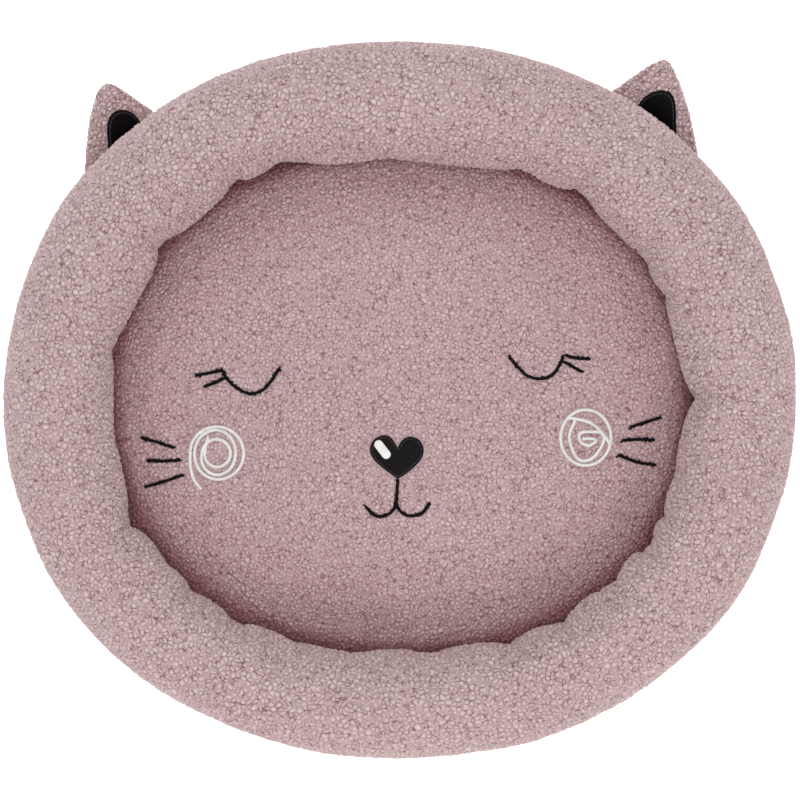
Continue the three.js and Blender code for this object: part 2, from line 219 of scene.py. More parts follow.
def puffed(piece, held, pressure, cap, growth=0.0):
    """Blows the cloth up from inside. held is each vertex's grip from 0 to 1, and cap the furthest move."""
    group = piece.vertex_groups.new(name="held")
    for level in np.unique(np.round(held, 1)):
        if level > 0:
            members = np.flatnonzero(np.round(held, 1) == level).tolist()
            group.add(members, float(level), "REPLACE")
    cloth = piece.modifiers.new("cloth", "CLOTH")
    settings = cloth.settings
    settings.quality = 6
    settings.mass = 0.25
    settings.tension_stiffness = 20
    settings.compression_stiffness = 12
    settings.shear_stiffness = 6
    settings.bending_stiffness = 0.4
    settings.use_pressure = True
    settings.uniform_pressure_force = pressure
    settings.shrink_min = -growth
    settings.vertex_group_mass = group.name
    settings.effector_weights.gravity = 0
    cloth.point_cache.frame_start = 1
    cloth.point_cache.frame_end = SIMULATED_FRAMES
    scene = bpy.context.scene
    before = vertices_of(piece.data)
    for number in range(1, SIMULATED_FRAMES + 1):
        scene.frame_set(number)
    graph = bpy.context.evaluated_depsgraph_get()
    after = vertices_of(piece.evaluated_get(graph).to_mesh())
    piece.evaluated_get(graph).to_mesh_clear()
    piece.modifiers.clear()
    piece.vertex_groups.clear()
    scene.frame_set(1)
    move = after - before
    length = np.linalg.norm(move, axis=1, keepdims=True)
    set_vertices(piece.data, before + move * np.minimum(1, cap / np.maximum(length, 1e-9)))
    return piece


SIMULATED_FRAMES = 20


def surface_of(piece):
    """A tree of the piece's surface, for finding its height."""
    faces = [tuple(p.vertices) for p in piece.data.polygons]
    return BVHTree.FromPolygons([v.co.copy() for v in piece.data.vertices], faces)


def on_surface(tree, x, y):
    """The point and normal of a surface under (x, y), seen from above."""
    point, normal, _, _ = tree.ray_cast(Vector((x, y, 0.3)), Vector((0, 0, -1)))
    return np.array(point), np.array(normal)


def stand_in(piece, body, slot, *nodes):
    """Rides a piece on its body, in the place of CAD nodes. slot is not used."""
    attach(piece, body)
    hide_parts(*nodes)


# ---- Node trees ----


class Nodes:
    """Short ways to build a node tree."""

    def __init__(self, tree):
        self.tree = tree

    def add(self, kind, inputs=None, **settings):
        node = self.tree.nodes.new(kind)
        for key, value in settings.items():
            setattr(node, key, value)
        for key, value in (inputs or {}).items():
            self.put(node.inputs[key], value)
        return node

    def put(self, socket, value):
        if isinstance(value, bpy.types.NodeSocket):
            self.tree.links.new(value, socket)
        else:
            socket.default_value = value

    def math(self, kind, first, second):
        return self.add("ShaderNodeMath", {0: first, 1: second}, operation=kind).outputs[0]

    def vector(self, kind, first, second):
        return self.add("ShaderNodeVectorMath", {0: first, 1: second}, operation=kind).outputs[0]

    def rising(self, value, low, high):
        """0 at low and 1 at high, with an easy curve between."""
        inputs = {"Value": value, "From Min": low, "From Max": high}
        node = self.add("ShaderNodeMapRange", inputs, interpolation_type="SMOOTHSTEP")
        return node.outputs[0]

    def noise_at(self, place, scale, detail=3.0, distortion=0.0, output="Fac"):
        inputs = {"Vector": place, "Scale": scale, "Detail": detail, "Distortion": distortion}
        return self.add("ShaderNodeTexNoise", inputs).outputs[output]

    def curls(self, place, size):
        """Small bent curls: how far a place is from its curl's edge, and the curl's own tone."""
        wobble = self.noise_at(place, 1 / (1.1 * size), 2.0, 0.0, "Color")
        off_middle = self.vector("SUBTRACT", wobble, (0.5, 0.5, 0.5))
        bend = self.vector("MULTIPLY", off_middle, (0.9 * size, 0.9 * size, 0.9 * size))
        inputs = {"Vector": self.vector("ADD", place, bend), "Scale": 1 / size}
        away = self.add("ShaderNodeTexVoronoi", inputs, feature="DISTANCE_TO_EDGE")
        tone = self.add("ShaderNodeTexVoronoi", inputs)
        return away.outputs["Distance"], tone.outputs["Color"]


class MaterialNodes(Nodes):
    """A material's nodes."""

    def __init__(self, name):
        self.material = bpy.data.materials.new(name)
        self.material.use_nodes = True
        super().__init__(self.material.node_tree)
        self.shader = self.tree.nodes["Principled BSDF"]

    def set(self, **values):
        for key, value in values.items():
            self.put(self.shader.inputs[key.replace("_", " ")], value)

    def attribute(self, name, output="Fac"):
        return self.add("ShaderNodeAttribute", attribute_name=name).outputs[output]

    def object_place(self):
        return self.add("ShaderNodeTexCoord").outputs["Object"]

    def noise(self, scale, detail=3.0, distortion=0.0):
        return self.noise_at(self.object_place(), scale, detail, distortion)

    def ramp(self, value, stops):
        node = self.add("ShaderNodeValToRGB", {"Fac": value})
        elements = node.color_ramp.elements
        while len(elements) < len(stops):
            elements.new(0.5)
        for element, (place, colour) in zip(elements, stops):
            element.position = place
            element.color = colour
        return node.outputs["Color"]

    def mix(self, kind, share, first, second):
        inputs = {0: share, 6: first, 7: second}
        node = self.add("ShaderNodeMix", inputs, data_type="RGBA", blend_type=kind)
        return node.outputs[2]

    def bump(self, height, distance, strength=1.0, before=None):
        inputs = {"Height": height, "Distance": distance, "Strength": strength}
        if before is not None:
            inputs["Normal"] = before
        return self.add("ShaderNodeBump", inputs).outputs["Normal"]


# ---- Curly pile as real surface ----


def curl_depths(piece, size):
    """Each vertex's distance from its curl's edge, from the same nodes as the material's."""
    tree = bpy.data.node_groups.new("curl_depths", "GeometryNodeTree")
    for way in ("INPUT", "OUTPUT"):
        tree.interface.new_socket("Geometry", in_out=way, socket_type="NodeSocketGeometry")
    nodes = Nodes(tree)
    skin = nodes.add("NodeGroupInput").outputs[0]
    place = nodes.add("GeometryNodeInputPosition").outputs[0]
    inputs = {"Geometry": skin, "Name": PILE, "Value": nodes.curls(place, size)[0]}
    stored = nodes.add("GeometryNodeStoreNamedAttribute", inputs, data_type="FLOAT", domain="POINT")
    nodes.put(nodes.add("NodeGroupOutput").inputs[0], stored.outputs[0])
    piece.modifiers.new("curls", "NODES").node_group = tree
    graph = bpy.context.evaluated_depsgraph_get()
    made = piece.evaluated_get(graph)
    mesh = made.to_mesh()
    depths = np.empty(len(mesh.vertices), np.float32)
    mesh.attributes[PILE].data.foreach_get("value", depths)
    made.to_mesh_clear()
    piece.modifiers.clear()
    bpy.data.node_groups.remove(tree)
    return depths


def grow_pile(piece, size, height, seed, pressed=0.0):
    """Raises curls from the fleece. pressed is each vertex's flattening, from 0 to 1, under a stitch."""
    mesh = piece.data
    points = vertices_of(mesh)
    store(mesh, REST, points)
    depth = np.clip(curl_depths(piece, size) / CURL_SHOULDER, 0, 1)
    dome = 1 - (1 - depth) ** 2
    clump = noise(points, size * 2.2, seed)[:, 0]
    tuft = noise(points, size * 0.6, seed + 2)[:, 0]
    free = np.broadcast_to(1 - pressed, len(points))
    rise = (dome * (1 + 0.15 * tuft) - 0.75 + 0.2 * clump) * height * free
    rise = rise - (1 - free) * height * 0.6
    set_vertices(mesh, points + normals_of(mesh) * rise[:, None])
    store(mesh, PILE, free)
    return piece


CURL_SHOULDER = 0.4  # how far in from its edge a curl is at its full height, in curls
BOLSTER_CURL = 3.4 * MM
CUSHION_CURL = 2.95 * MM


# ---- Materials ----


def linear(red, green, blue):
    """A colour given as 8-bit display values, as shader values."""
    parts = [c / 255 for c in (red, green, blue)]
    return tuple(c / 12.92 if c <= 0.04045 else ((c + 0.055) / 1.055) ** 2.4 for c in parts) + (1,)


def grey(value):
    return (value, value, value, 1)


def fleece(name, crevice_shade, low, body, tip, size):
    """Curly fleece: pale curls with painted shade in the thin crevices round them and painted light on their
    tops, fine fibres and a soft sheen.
    """
    nodes = MaterialNodes(name)
    rest = nodes.attribute(REST, "Vector")
    free = nodes.attribute(PILE)
    away, tone = nodes.curls(rest, size)
    fibre = nodes.noise_at(rest, 1500, 4.0, 1.2)
    tufts = nodes.noise_at(rest, 2.6 / size, 2.0, 0.8)
    # Partly painted light and shade: each curl's height (dome) lightens its top and darkens its foot; fibre,
    # tufts and each curl's own tone are the fleece's real variation.
    dome = nodes.rising(away, 0.0, CURL_SHOULDER)
    level = nodes.math("MULTIPLY", dome, 0.3)
    level = nodes.math("ADD", level, nodes.math("MULTIPLY", fibre, 0.36))
    level = nodes.math("ADD", level, nodes.math("MULTIPLY", tufts, 0.5))
    level = nodes.math("ADD", level, nodes.math("MULTIPLY", tone, 0.1))
    colour = nodes.ramp(level, [(0.34, low), (0.66, body), (0.92, tip)])
    # Painted shade: thin dark lines in the crevices between curls, left out where stitches press the pile
    # flat.
    open_share = nodes.rising(nodes.noise_at(rest, 0.9 / size, 2.0), 0.38, 0.62)
    width = nodes.math("ADD", nodes.math("MULTIPLY", open_share, 0.08), 0.04)
    line = nodes.math("SUBTRACT", 1.0, nodes.rising(away, 0.0, width))
    line = nodes.math("MULTIPLY", line, nodes.math("MULTIPLY", free, open_share))
    colour = nodes.mix("MIX", nodes.math("MULTIPLY", line, 0.85), colour, crevice_shade)
    patchy = nodes.noise_at(rest, 14, 2.0)
    soft = nodes.ramp(patchy, [(0.3, (0.955, 0.94, 0.945, 1)), (0.7, (1.0, 1.0, 1.0, 1))])
    colour = nodes.mix("MULTIPLY", 1.0, colour, soft)
    # Painted shade: the fleece darkens towards the cushion's rim, where the bolster's overhang shades it.
    rim_shade = nodes.ramp(nodes.attribute(RIM_SHADE), RIM_SHADE_TONES)
    colour = nodes.mix("MULTIPLY", 1.0, colour, rim_shade)
    rounded = nodes.bump(nodes.math("MULTIPLY", dome, free), 0.9 * MM, 0.5)
    tufted = nodes.bump(tufts, 1.0 * MM, 0.5, rounded)
    rough = nodes.bump(fibre, 0.4 * MM, 0.5, tufted)
    nodes.set(Base_Color=colour, Roughness=0.9, Normal=rough)
    nodes.set(Sheen_Weight=0.2, Sheen_Roughness=0.45, Sheen_Tint=linear(240, 220, 218))
    nodes.set(Specular_IOR_Level=0.2)
    return nodes.material


# Painted shade: from no change, through a faint darkening, to a dark red in the fold at the cushion's rim.
RIM_SHADE_TONES = [(0.0, (1.0, 1.0, 1.0, 1)), (0.5, (0.93, 0.89, 0.9, 1)), (1.0, (0.6, 0.38, 0.41, 1))]


def thread_material(name, dark, light, roughness, sheen, gloss=0.3):
    nodes = MaterialNodes(name)
    strands = nodes.noise(2300, 3.0, 0.6)
    uneven = nodes.noise(160, 2.0)
    colour = nodes.ramp(strands, [(0.3, dark), (0.75, light)])
    shade = nodes.ramp(uneven, [(0.3, grey(0.86)), (0.7, grey(1.0))])
    colour = nodes.mix("MULTIPLY", 1.0, colour, shade)
    nodes.set(Base_Color=colour, Roughness=roughness, Normal=nodes.bump(strands, 0.2 * MM, 0.8))
    nodes.set(Sheen_Weight=sheen, Sheen_Roughness=0.4, Specular_IOR_Level=gloss)
    return nodes.material


def satin():
    """Black satin: a fine twill whose threads catch the light."""
    nodes = MaterialNodes("black_satin_cloth")
    place = nodes.object_place()
    inputs = {"Vector": place, "Scale": 420.0, "Distortion": 1.4, "Detail": 2.0}
    twill = nodes.add("ShaderNodeTexWave", inputs, bands_direction="DIAGONAL").outputs["Fac"]
    grain = nodes.noise(1500, 4.0)
    colour = nodes.ramp(grain, [(0.3, linear(2, 1, 2)), (0.6, linear(10, 7, 8)), (0.86, linear(38, 30, 30))])
    fine = nodes.bump(grain, 0.12 * MM, 0.7)
    woven = nodes.bump(twill, 0.08 * MM, 0.5, fine)
    nodes.set(Base_Color=colour, Roughness=0.52, Normal=woven)
    nodes.set(Specular_IOR_Level=0.12)
    return nodes.material


def base_cloth():
    """The plain woven underside."""
    nodes = MaterialNodes("base_weave")
    place = nodes.object_place()
    bands = []
    for direction in ("X", "Y"):
        inputs = {"Vector": place, "Scale": 260.0, "Distortion": 0.6, "Detail": 1.0}
        wave = nodes.add("ShaderNodeTexWave", inputs, bands_direction=direction)
        bands.append(wave.outputs["Fac"])
    weave = nodes.math("MULTIPLY", *bands)
    specks = nodes.noise(600, 3.0)
    level = nodes.math("ADD", weave, nodes.math("MULTIPLY", specks, 0.4))
    colour = nodes.ramp(level, [(0.1, linear(96, 88, 92)), (0.9, linear(158, 148, 151))])
    nodes.set(Base_Color=colour, Roughness=0.88, Normal=nodes.bump(level, 0.3 * MM, 0.9))
    nodes.set(Specular_IOR_Level=0.2)
    return nodes.material


def grip_rubber():
    nodes = MaterialNodes("grip_rubber")
    cloud = nodes.noise(900, 2.0)
    colour = nodes.ramp(cloud, [(0.3, linear(62, 57, 60)), (0.7, linear(82, 76, 80))])
    nodes.set(Base_Color=colour, Roughness=0.7, Normal=nodes.bump(cloud, 0.1 * MM, 0.4))
    return nodes.material


def fibre():
    """Loose polyester filling."""
    nodes = MaterialNodes("loose_fibre")
    wisps = nodes.noise(240, 6.0, 2.5)
    colour = nodes.ramp(wisps, [(0.3, linear(206, 202, 196)), (0.7, linear(244, 243, 240))])
    nodes.set(Base_Color=colour, Roughness=0.95, Normal=nodes.bump(wisps, 1.5 * MM, 0.9))
    nodes.set(Sheen_Weight=0.3, Specular_IOR_Level=0.15)
    return nodes.material


# Fleece tones: painted crevice shade, then low, body and tip tones that the curl's height moves between as
# painted shade and light.
bolster_cloth = fleece(
    "bolster_curls",
    linear(118, 80, 82),
    linear(182, 152, 154),
    linear(214, 191, 191),
    linear(237, 220, 219),
    BOLSTER_CURL,
)
cushion_cloth = fleece(
    "cushion_curls",
    linear(114, 74, 76),
    linear(180, 147, 149),
    linear(212, 185, 186),
    linear(236, 215, 215),
    CUSHION_CURL,
)
black_cotton = thread_material("black_cotton", linear(5, 4, 5), linear(30, 26, 28), 0.7, 0.0, 0.12)
white_cotton = thread_material("white_cotton", linear(240, 242, 239), linear(254, 254, 252), 0.5, 0.25)
grey_cotton = thread_material("grey_cotton", linear(70, 64, 66), linear(110, 104, 106), 0.6, 0.1)
pink_cotton = thread_material("pink_cotton", linear(150, 120, 122), linear(196, 168, 170), 0.6, 0.2)
satin_cloth = satin()
fibre_fill = fibre()


# ---- The bolster ----

# Where the inner edge drifts off the plain oval between its creases, every 30 degrees.
INNER_DRIFT = [-4.6, -5.0, -4.0, -10.5, -1.0, -4.2, -2.4, 0.6, 2.0, -0.6, 0.2, -1.6]
# Gathered creases of the inner side: degrees round, depth and half width in millimetres.
CREASES = [
    (0, 6.6, 8),
    (21, 2.0, 8),
    (32, 5.0, 8),
    (50, 6.0, 10),
    (60, 2.6, 7),
    (96, 1.0, 8),
    (112, 2.4, 9),
    (126, 5.2, 9),
    (148, 5.4, 9),
    (167, 2.0, 8),
    (205, 6.4, 10),
    (222, 4.0, 7),
    (235, 5.0, 8),
    (259, 2.0, 9),
    (274, 2.2, 9),
    (295, 5.4, 8),
    (306, 5.0, 7),
    (316, 4.6, 7),
    (328, 7.0, 8),
    (336, 3.0, 6),
]


SEATED_SHARE = 0.25  # how much of an inset is kept on the underside, which sits on the base


def inner_drift(azimuth):
    step = 360 / len(INNER_DRIFT)
    places = np.degrees(azimuth) % 360 / step
    first = np.floor(places).astype(int) % len(INNER_DRIFT)
    share = smoothstep(0, 1, places - np.floor(places))
    values = np.array(INNER_DRIFT)
    return (values[first] * (1 - share) + values[(first + 1) % len(INNER_DRIFT)] * share) * MM


def creasing(azimuth, radius, sharpness=1.0):
    """How deep the creases are at a place round the bed, in metres."""
    total = np.zeros(np.shape(azimuth))
    for degrees, depth, half_width in CREASES:
        away = (azimuth - math.radians(degrees) + math.pi) % (2 * math.pi) - math.pi
        share = np.abs(away) * radius / (half_width * MM / sharpness)
        total = np.maximum(total, depth * MM * np.exp(-(share**1.3)))
    return total


def bolster_points(turn, angle, inset=0.0):
    """Points of the bolster's skin: turn is the place round it, and angle the place round the tube,
    from 0 at its outer side up over its top."""
    centre = [half * signed_power(f(turn), 2 / OVAL_POWER) for half, f in zip(RING, (np.cos, np.sin))]
    normal = [
        signed_power(c / half, OVAL_POWER - 1) / half for c, half in zip(centre, RING)
    ]
    length = np.hypot(*normal)
    azimuth = np.arctan2(centre[1], centre[0])
    power = 2 / np.where(np.sin(angle) < 0, UNDERSIDE_POWER, 2)
    offset = (TUBE_HALF_WIDTH - inset) * signed_power(np.cos(angle), power)
    sunk = inset * np.where(np.sin(angle) < 0, SEATED_SHARE, 1)
    height = TUBE_CENTRE + (TUBE_HALF_HEIGHT - sunk) * signed_power(np.sin(angle), power)
    inner = np.clip(0.5 - 0.5 * np.cos(angle), 0, 1)
    lean = 0.05 * np.sin(7 * azimuth) * np.cos(angle)
    radius = np.hypot(*centre) - TUBE_HALF_WIDTH
    offset = offset + inner_drift(azimuth) * inner**1.5
    offset = offset + creasing(azimuth + lean, radius) * inner**2.2
    slump = np.clip(np.sin(angle), 0, 1) ** 2
    height = height + slump * 1.6 * MM * (np.sin(3 * azimuth + 0.6) + 0.7 * np.sin(8 * azimuth + 2))
    height = height + slump * 1.2 * MM
    x = centre[0] + normal[0] / length * offset
    y = centre[1] + normal[1] / length * offset
    return np.stack([x, y, height], axis=-1)


def torus_piece(name, around, across, inset, material):
    turn, angle = np.meshgrid(
        np.arange(around) / around * 2 * math.pi, np.arange(across) / across * 2 * math.pi
    )
    points = bolster_points(turn, angle, inset).reshape(-1, 3)
    faces, uvs = grid_faces(across, around, True, True)
    return new_piece(name, points, faces, [material], uvs), turn.ravel(), angle.ravel()


def tube_place(points):
    """The place round the bed and round the tube of points near the bolster's skin."""
    azimuth = np.arctan2(points[:, 1] / RING[1], points[:, 0] / RING[0])
    share = (
        np.abs(points[:, 0] / RING[0]) ** OVAL_POWER + np.abs(points[:, 1] / RING[1]) ** OVAL_POWER
    ) ** (1 / OVAL_POWER)
    radius = np.hypot(points[:, 0], points[:, 1])
    offset = radius * (1 - 1 / share)
    return azimuth, np.arctan2(points[:, 2] - TUBE_CENTRE, offset), radius


def fine_creases(piece):
    """Sharpens the gathered creases and adds thin wrinkles that run up from them."""
    mesh = piece.data
    points = vertices_of(mesh)
    _, angle, radius = tube_place(points)
    azimuth = np.arctan2(points[:, 1], points[:, 0])
    inner = np.clip(0.5 - 0.5 * np.cos(angle), 0, 1)
    wander = noise(points, 26 * MM, 3)[:, 0] * 0.012
    sharp = creasing(azimuth + wander, radius, 3.2) * 0.42 * inner**2.6
    shallow = creasing(azimuth + 2 * wander, radius, 1.6) * 0.2 * np.clip(inner, 0, 1) ** 1.2
    shallow *= smoothstep(-0.2, 0.9, np.sin(angle))
    rolls = noise(points, 44 * MM, 5)[:, 1] * 1.0 * MM
    set_vertices(mesh, points + normals_of(mesh) * (rolls - sharp - shallow)[:, None])
    return piece


def make_bolster():
    around, across = (176, 34)
    piece, turn, angle = torus_piece("bolster", around, across, 4.2 * MM, bolster_cloth)
    azimuth = np.arctan2(RING[1] * np.sin(turn), RING[0] * np.cos(turn))
    inner = np.clip(-np.cos(angle), 0, 1)
    grip = creasing(azimuth, RING[1] - TUBE_HALF_WIDTH, 1.6) / (5 * MM) * inner**0.6
    under = smoothstep(0.62, 0.85, -np.sin(angle))
    puffed(piece, np.clip(np.maximum(grip, under), 0, 1), 4, 5 * MM, 0.015)
    refined(piece, 3)
    fine_creases(piece)
    grow_pile(piece, BOLSTER_CURL, 1.7 * MM, 11)
    stand_in(piece, "root", "bolster_fleece", "bolster_cover")
    return piece


def make_bolster_filling():
    piece, _, _ = torus_piece("bolster_filling", 120, 24, 12 * MM, fibre_fill)
    refined(piece, 1)
    points = vertices_of(piece.data)
    lumps = noise(points, 22 * MM, 31)[:, 0] * 1.4 * MM
    set_vertices(piece.data, points + normals_of(piece.data) * lumps[:, None])
    stand_in(piece, "root", "fibre_filling", "bolster_fill")


# ---- The face's lines, as drawn on the cushion in millimetres ----

BLACK_LINES = {
    "left_eye_lid": [(-124.1, 20.2), (-120.6, 14), (-114, 8), (-105, 4), (-96, 6.5), (-90, 13), (-84, 22)],
    "left_eye_upper_lash": [(-143, 17), (-134.5, 18.3), (-124.6, 20.6)],
    "left_eye_lower_lash": [(-137, 9), (-130, 11.5), (-122.6, 15.2)],
    "right_eye_lid": [(76, 30), (82, 23), (89, 16.5), (98, 14.4), (106, 17), (111, 23), (114.5, 31)],
    "right_eye_upper_lash": [(115.4, 31), (123, 29), (132.6, 28.3)],
    "right_eye_lower_lash": [(114, 26.8), (121.5, 22.5), (128, 19)],
    "left_whisker_upper": [(-181, -27), (-170, -30), (-158, -34)],
    "left_whisker_middle": [(-177.5, -43), (-166, -43.2), (-154, -42.6)],
    "left_whisker_lower": [(-179, -61.4), (-165, -57.4), (-151.6, -52.6)],
    "right_whisker_upper": [(160.7, -19.7), (172, -16), (183, -12.7)],
    "right_whisker_middle": [(155, -28.8), (166, -28), (178, -28.4)],
    "right_whisker_lower": [(152.7, -39), (166, -43.8), (179.5, -46)],
    "mouth_stem": [(-1.4, -56.2), (-2.2, -65), (-2.5, -73.5)],
    "mouth_left_curl": [(-3.1, -72), (-4.2, -76.3), (-8, -80.2), (-14.3, -82), (-20, -79.2), (-24.4, -74.4)],
    "mouth_right_curl": [
        (-2.2, -72), (-1.1, -76.3), (2.8, -80.2), (8.3, -81.5), (15.1, -79.7), (20.9, -72.9)
    ],
}
LEFT_CHEEK_CENTRE = (-128.7, -37.6)
# The left cheek's spiral: its distance from its centre at each quarter turn.
LEFT_CHEEK_REACH = [18.3, 18.5, 19.4, 18.3, 15.2, 16.2, 13.6, 15.2, 10.1, 9.8, 10, 9.7, 7.9]
LEFT_CHEEK_TAIL = [(-139.4, -62.8), (-144.5, -56), (-146.8, -47)]
LEFT_CHEEK_SPUR = [(-136.3, -33), (-134.3, -26)]
RIGHT_CHEEK_CENTRE = (130, -26.7)
RIGHT_CHEEK_HALF_AXES = (17.7, 19.5)
RIGHT_CHEEK_LINES = [
    [(116.8, -12.9), (125, -13.9), (134.6, -17.2), (143.2, -25.4), (147, -32)],
    [(122.5, -14.2), (118.4, -27.5), (125, -42), (135.4, -40.4), (142.6, -29), (140.7, -22.9)],
    [(140.7, -22.9), (132, -22.6), (126.5, -23.2), (125, -26.6), (127.6, -30.8), (132.3, -32.4)],
    [(132.3, -32.4), (137.3, -29.2), (134.4, -27.4), (127.8, -27.6)],
]
HEART_NOTCH = (-1.7, -33.8)
HEART_TIP = (-1.4, -55.6)
HEART_LEFT = [(-6, -27), (-11.8, -25), (-18.5, -28.5), (-21, -35.6), (-17.5, -43), (-8, -51)]
HEART_RIGHT = [(2, -28), (7.9, -26), (14, -29), (16.6, -36), (13.5, -43.5), (5.5, -51)]
HIGHLIGHT_ENDS = [(-14.9, -31.6), (-9.6, -38.4)]
HIGHLIGHT_WIDTH = 6.3
BLACK_WIDTH = 2.65 * MM
WHITE_WIDTH = 2.4 * MM


def curved(points, step=0.5):
    """A smooth line through the points, in even steps, all in millimetres."""
    knots = np.array(points, float)
    padded_knots = np.vstack([2 * knots[0] - knots[1], knots, 2 * knots[-1] - knots[-2]])
    share = np.linspace(0, 1, 24, endpoint=False)[:, None]
    runs = []
    for a, b, c, d in zip(padded_knots, padded_knots[1:], padded_knots[2:], padded_knots[3:]):
        runs.append(
            0.5
            * (
                2 * b
                + (c - a) * share
                + (2 * a - 5 * b + 4 * c - d) * share**2
                + (3 * b - a - 3 * c + d) * share**3
            )
        )
    return evenly(np.vstack([*runs, knots[-1:]]), step)


def evenly(line, step):
    along = np.concatenate([[0], np.cumsum(np.linalg.norm(np.diff(line, axis=0), axis=1))])
    count = max(2, round(along[-1] / step) + 1)
    wanted = np.linspace(0, along[-1], count)
    return np.stack([np.interp(wanted, along, line[:, i]) for i in range(line.shape[1])], axis=1)


def left_cheek_lines():
    turns = math.pi - np.arange(len(LEFT_CHEEK_REACH)) * math.pi / 2
    fine = np.linspace(0, len(turns) - 1, 6 * (len(turns) - 1) + 1)
    reach = curved([(i, r) for i, r in enumerate(LEFT_CHEEK_REACH)], 0.05)
    reach = np.interp(fine, reach[:, 0], reach[:, 1])
    turn = np.interp(fine, np.arange(len(turns)), turns)
    spiral = np.stack(
        [LEFT_CHEEK_CENTRE[0] + reach * np.cos(turn), LEFT_CHEEK_CENTRE[1] + reach * np.sin(turn)],
        axis=1,
    )
    return [curved([*LEFT_CHEEK_TAIL, *spiral.tolist(), *LEFT_CHEEK_SPUR])]


def right_cheek_lines():
    turn = np.linspace(0, 2 * math.pi, 73) + 2.2
    ring = np.stack(
        [
            RIGHT_CHEEK_CENTRE[0] + RIGHT_CHEEK_HALF_AXES[0] * np.cos(turn),
            RIGHT_CHEEK_CENTRE[1] + RIGHT_CHEEK_HALF_AXES[1] * np.sin(turn),
        ],
        axis=1,
    )
    return [evenly(ring, 0.5), *[curved(line) for line in RIGHT_CHEEK_LINES]]


def heart_outline(step=0.8):
    left = curved([HEART_NOTCH, *HEART_LEFT, HEART_TIP], step)
    right = curved([HEART_NOTCH, *HEART_RIGHT, HEART_TIP], step)[::-1]
    return np.vstack([left, right[1:-1]])


def highlight_outline():
    ends = np.array(HIGHLIGHT_ENDS)
    lean = math.atan2(*(ends[1] - ends[0])[::-1])
    reach = HIGHLIGHT_WIDTH / 2
    outline = []
    for number in range(32):
        angle = lean + math.pi / 2 + (number + 0.5) / 32 * 2 * math.pi
        end = ends[0] if number < 16 else ends[1]
        outline.append(end + reach * np.array([math.cos(angle), math.sin(angle)]))
    return evenly(np.array([*outline, outline[0]]), 0.5)[:-1]


def distance_to(points, line):
    """Each flat point's distance to the nearest point of a line."""
    nearest = np.full(len(points), 1e9)
    for start in range(0, len(points), 20000):
        part = points[start : start + 20000]
        gaps = (part[:, None, 0] - line[None, :, 0]) ** 2 + (part[:, None, 1] - line[None, :, 1]) ** 2
        nearest[start : start + 20000] = np.sqrt(gaps.min(axis=1))
    return nearest


def inside(points, outline):
    """Which flat points lie inside a closed outline."""
    found = np.zeros(len(points), bool)
    following = np.roll(outline, -1, axis=0)
    for (x1, y1), (x2, y2) in zip(outline, following):
        crosses = (y1 > points[:, 1]) != (y2 > points[:, 1])
        if y1 != y2:
            at = x1 + (points[:, 1] - y1) / (y2 - y1) * (x2 - x1)
            found ^= crosses & (points[:, 0] < at)
    return found


# ---- The cushion ----


def crown_height(share):
    fall = (1 - np.minimum(share, 1) ** CROWN_POWER) ** CROWN_SLOPE
    return CUSHION_RIM + (CUSHION_TOP - CUSHION_RIM) * fall


def oval_grid(rows, columns):
    """An even grid over an oval of half axes 1: places, and shares of the way out to its edge."""
    v, u = np.meshgrid(np.linspace(-1, 1, rows), np.linspace(-1, 1, columns), indexing="ij")
    x = u * np.sqrt(1 - v**2 / 2)
    y = v * np.sqrt(1 - u**2 / 2)
    share = np.hypot(x, y)
    angle = np.arctan2(y, x)
    stretch = (np.abs(np.cos(angle)) ** OVAL_POWER + np.abs(np.sin(angle)) ** OVAL_POWER) ** (
        -1 / OVAL_POWER
    )
    return x * stretch, y * stretch, share


def cushion_plan(rows, columns, scale=1.0):
    """A grid over the cushion, whose edge follows the bolster out into its creases."""
    x, y, share = oval_grid(rows, columns)
    x, y = x * CUSHION[0] * scale, y * CUSHION[1] * scale
    azimuth, radius = np.arctan2(y, x), np.hypot(x, y)
    hollow = inner_drift(azimuth) + 0.95 * creasing(azimuth, radius)
    outwards = 1 + np.maximum(hollow, 0) * share**6 / np.maximum(radius, MM)
    return x * outwards, y * outwards, share


def cushion_grid(rows, columns, drop=0.0, scale=1.0):
    x, y, share = cushion_plan(rows, columns, scale)
    height = crown_height(share * 0.995) + 4 * MM * smoothstep(0.7, 0.96, share)
    return np.stack([x, y, height - drop], axis=-1).reshape(-1, 3)


def close_underside(piece, floor):
    """Folds a cushion top's free edge under and closes it with a flat underside."""
    shape = bmesh.new()
    shape.from_mesh(piece.data)
    layer = shape.loops.layers.uv[UV_MAP]
    known = set(shape.faces)
    edge = [e for e in shape.edges if e.is_boundary]
    for shrink, height in ((1.0, 0.45), (0.985, 0.0), (0.8, 0.0), (0.45, 0.0)):
        made = bmesh.ops.extrude_edge_only(shape, edges=edge)["geom"]
        edge = [e for e in made if isinstance(e, bmesh.types.BMEdge) and e.is_boundary]
        for vertex in {v for e in edge for v in e.verts}:
            vertex.co.x *= shrink
            vertex.co.y *= shrink
            vertex.co.z = floor + (vertex.co.z - floor) * height
    bmesh.ops.holes_fill(shape, edges=edge)
    bmesh.ops.recalc_face_normals(shape, faces=shape.faces)
    for face in shape.faces:
        face.smooth = True
        if face not in known:
            for loop in face.loops:
                place = loop.vert.co
                loop[layer].uv = (0.86 + place.x * 0.55, 0.16 + place.y * 0.55)
    shape.to_mesh(piece.data)
    shape.free()


def cushion_relief(points):
    """Soft waves of the stuffing, and one faint fold."""
    waves = noise(points, 70 * MM, 41)[:, 0] * 1.5 * MM + noise(points, 28 * MM, 43)[:, 0] * 0.8 * MM
    across = (points[:, 0] + 70 * MM) / (5 * MM) + np.sin(points[:, 1] / (14 * MM)) * 0.4
    along = smoothstep(-165 * MM, -140 * MM, points[:, 1]) * smoothstep(-84 * MM, -110 * MM, points[:, 1])
    return waves - 1.8 * MM * np.exp(-(across**2)) * along


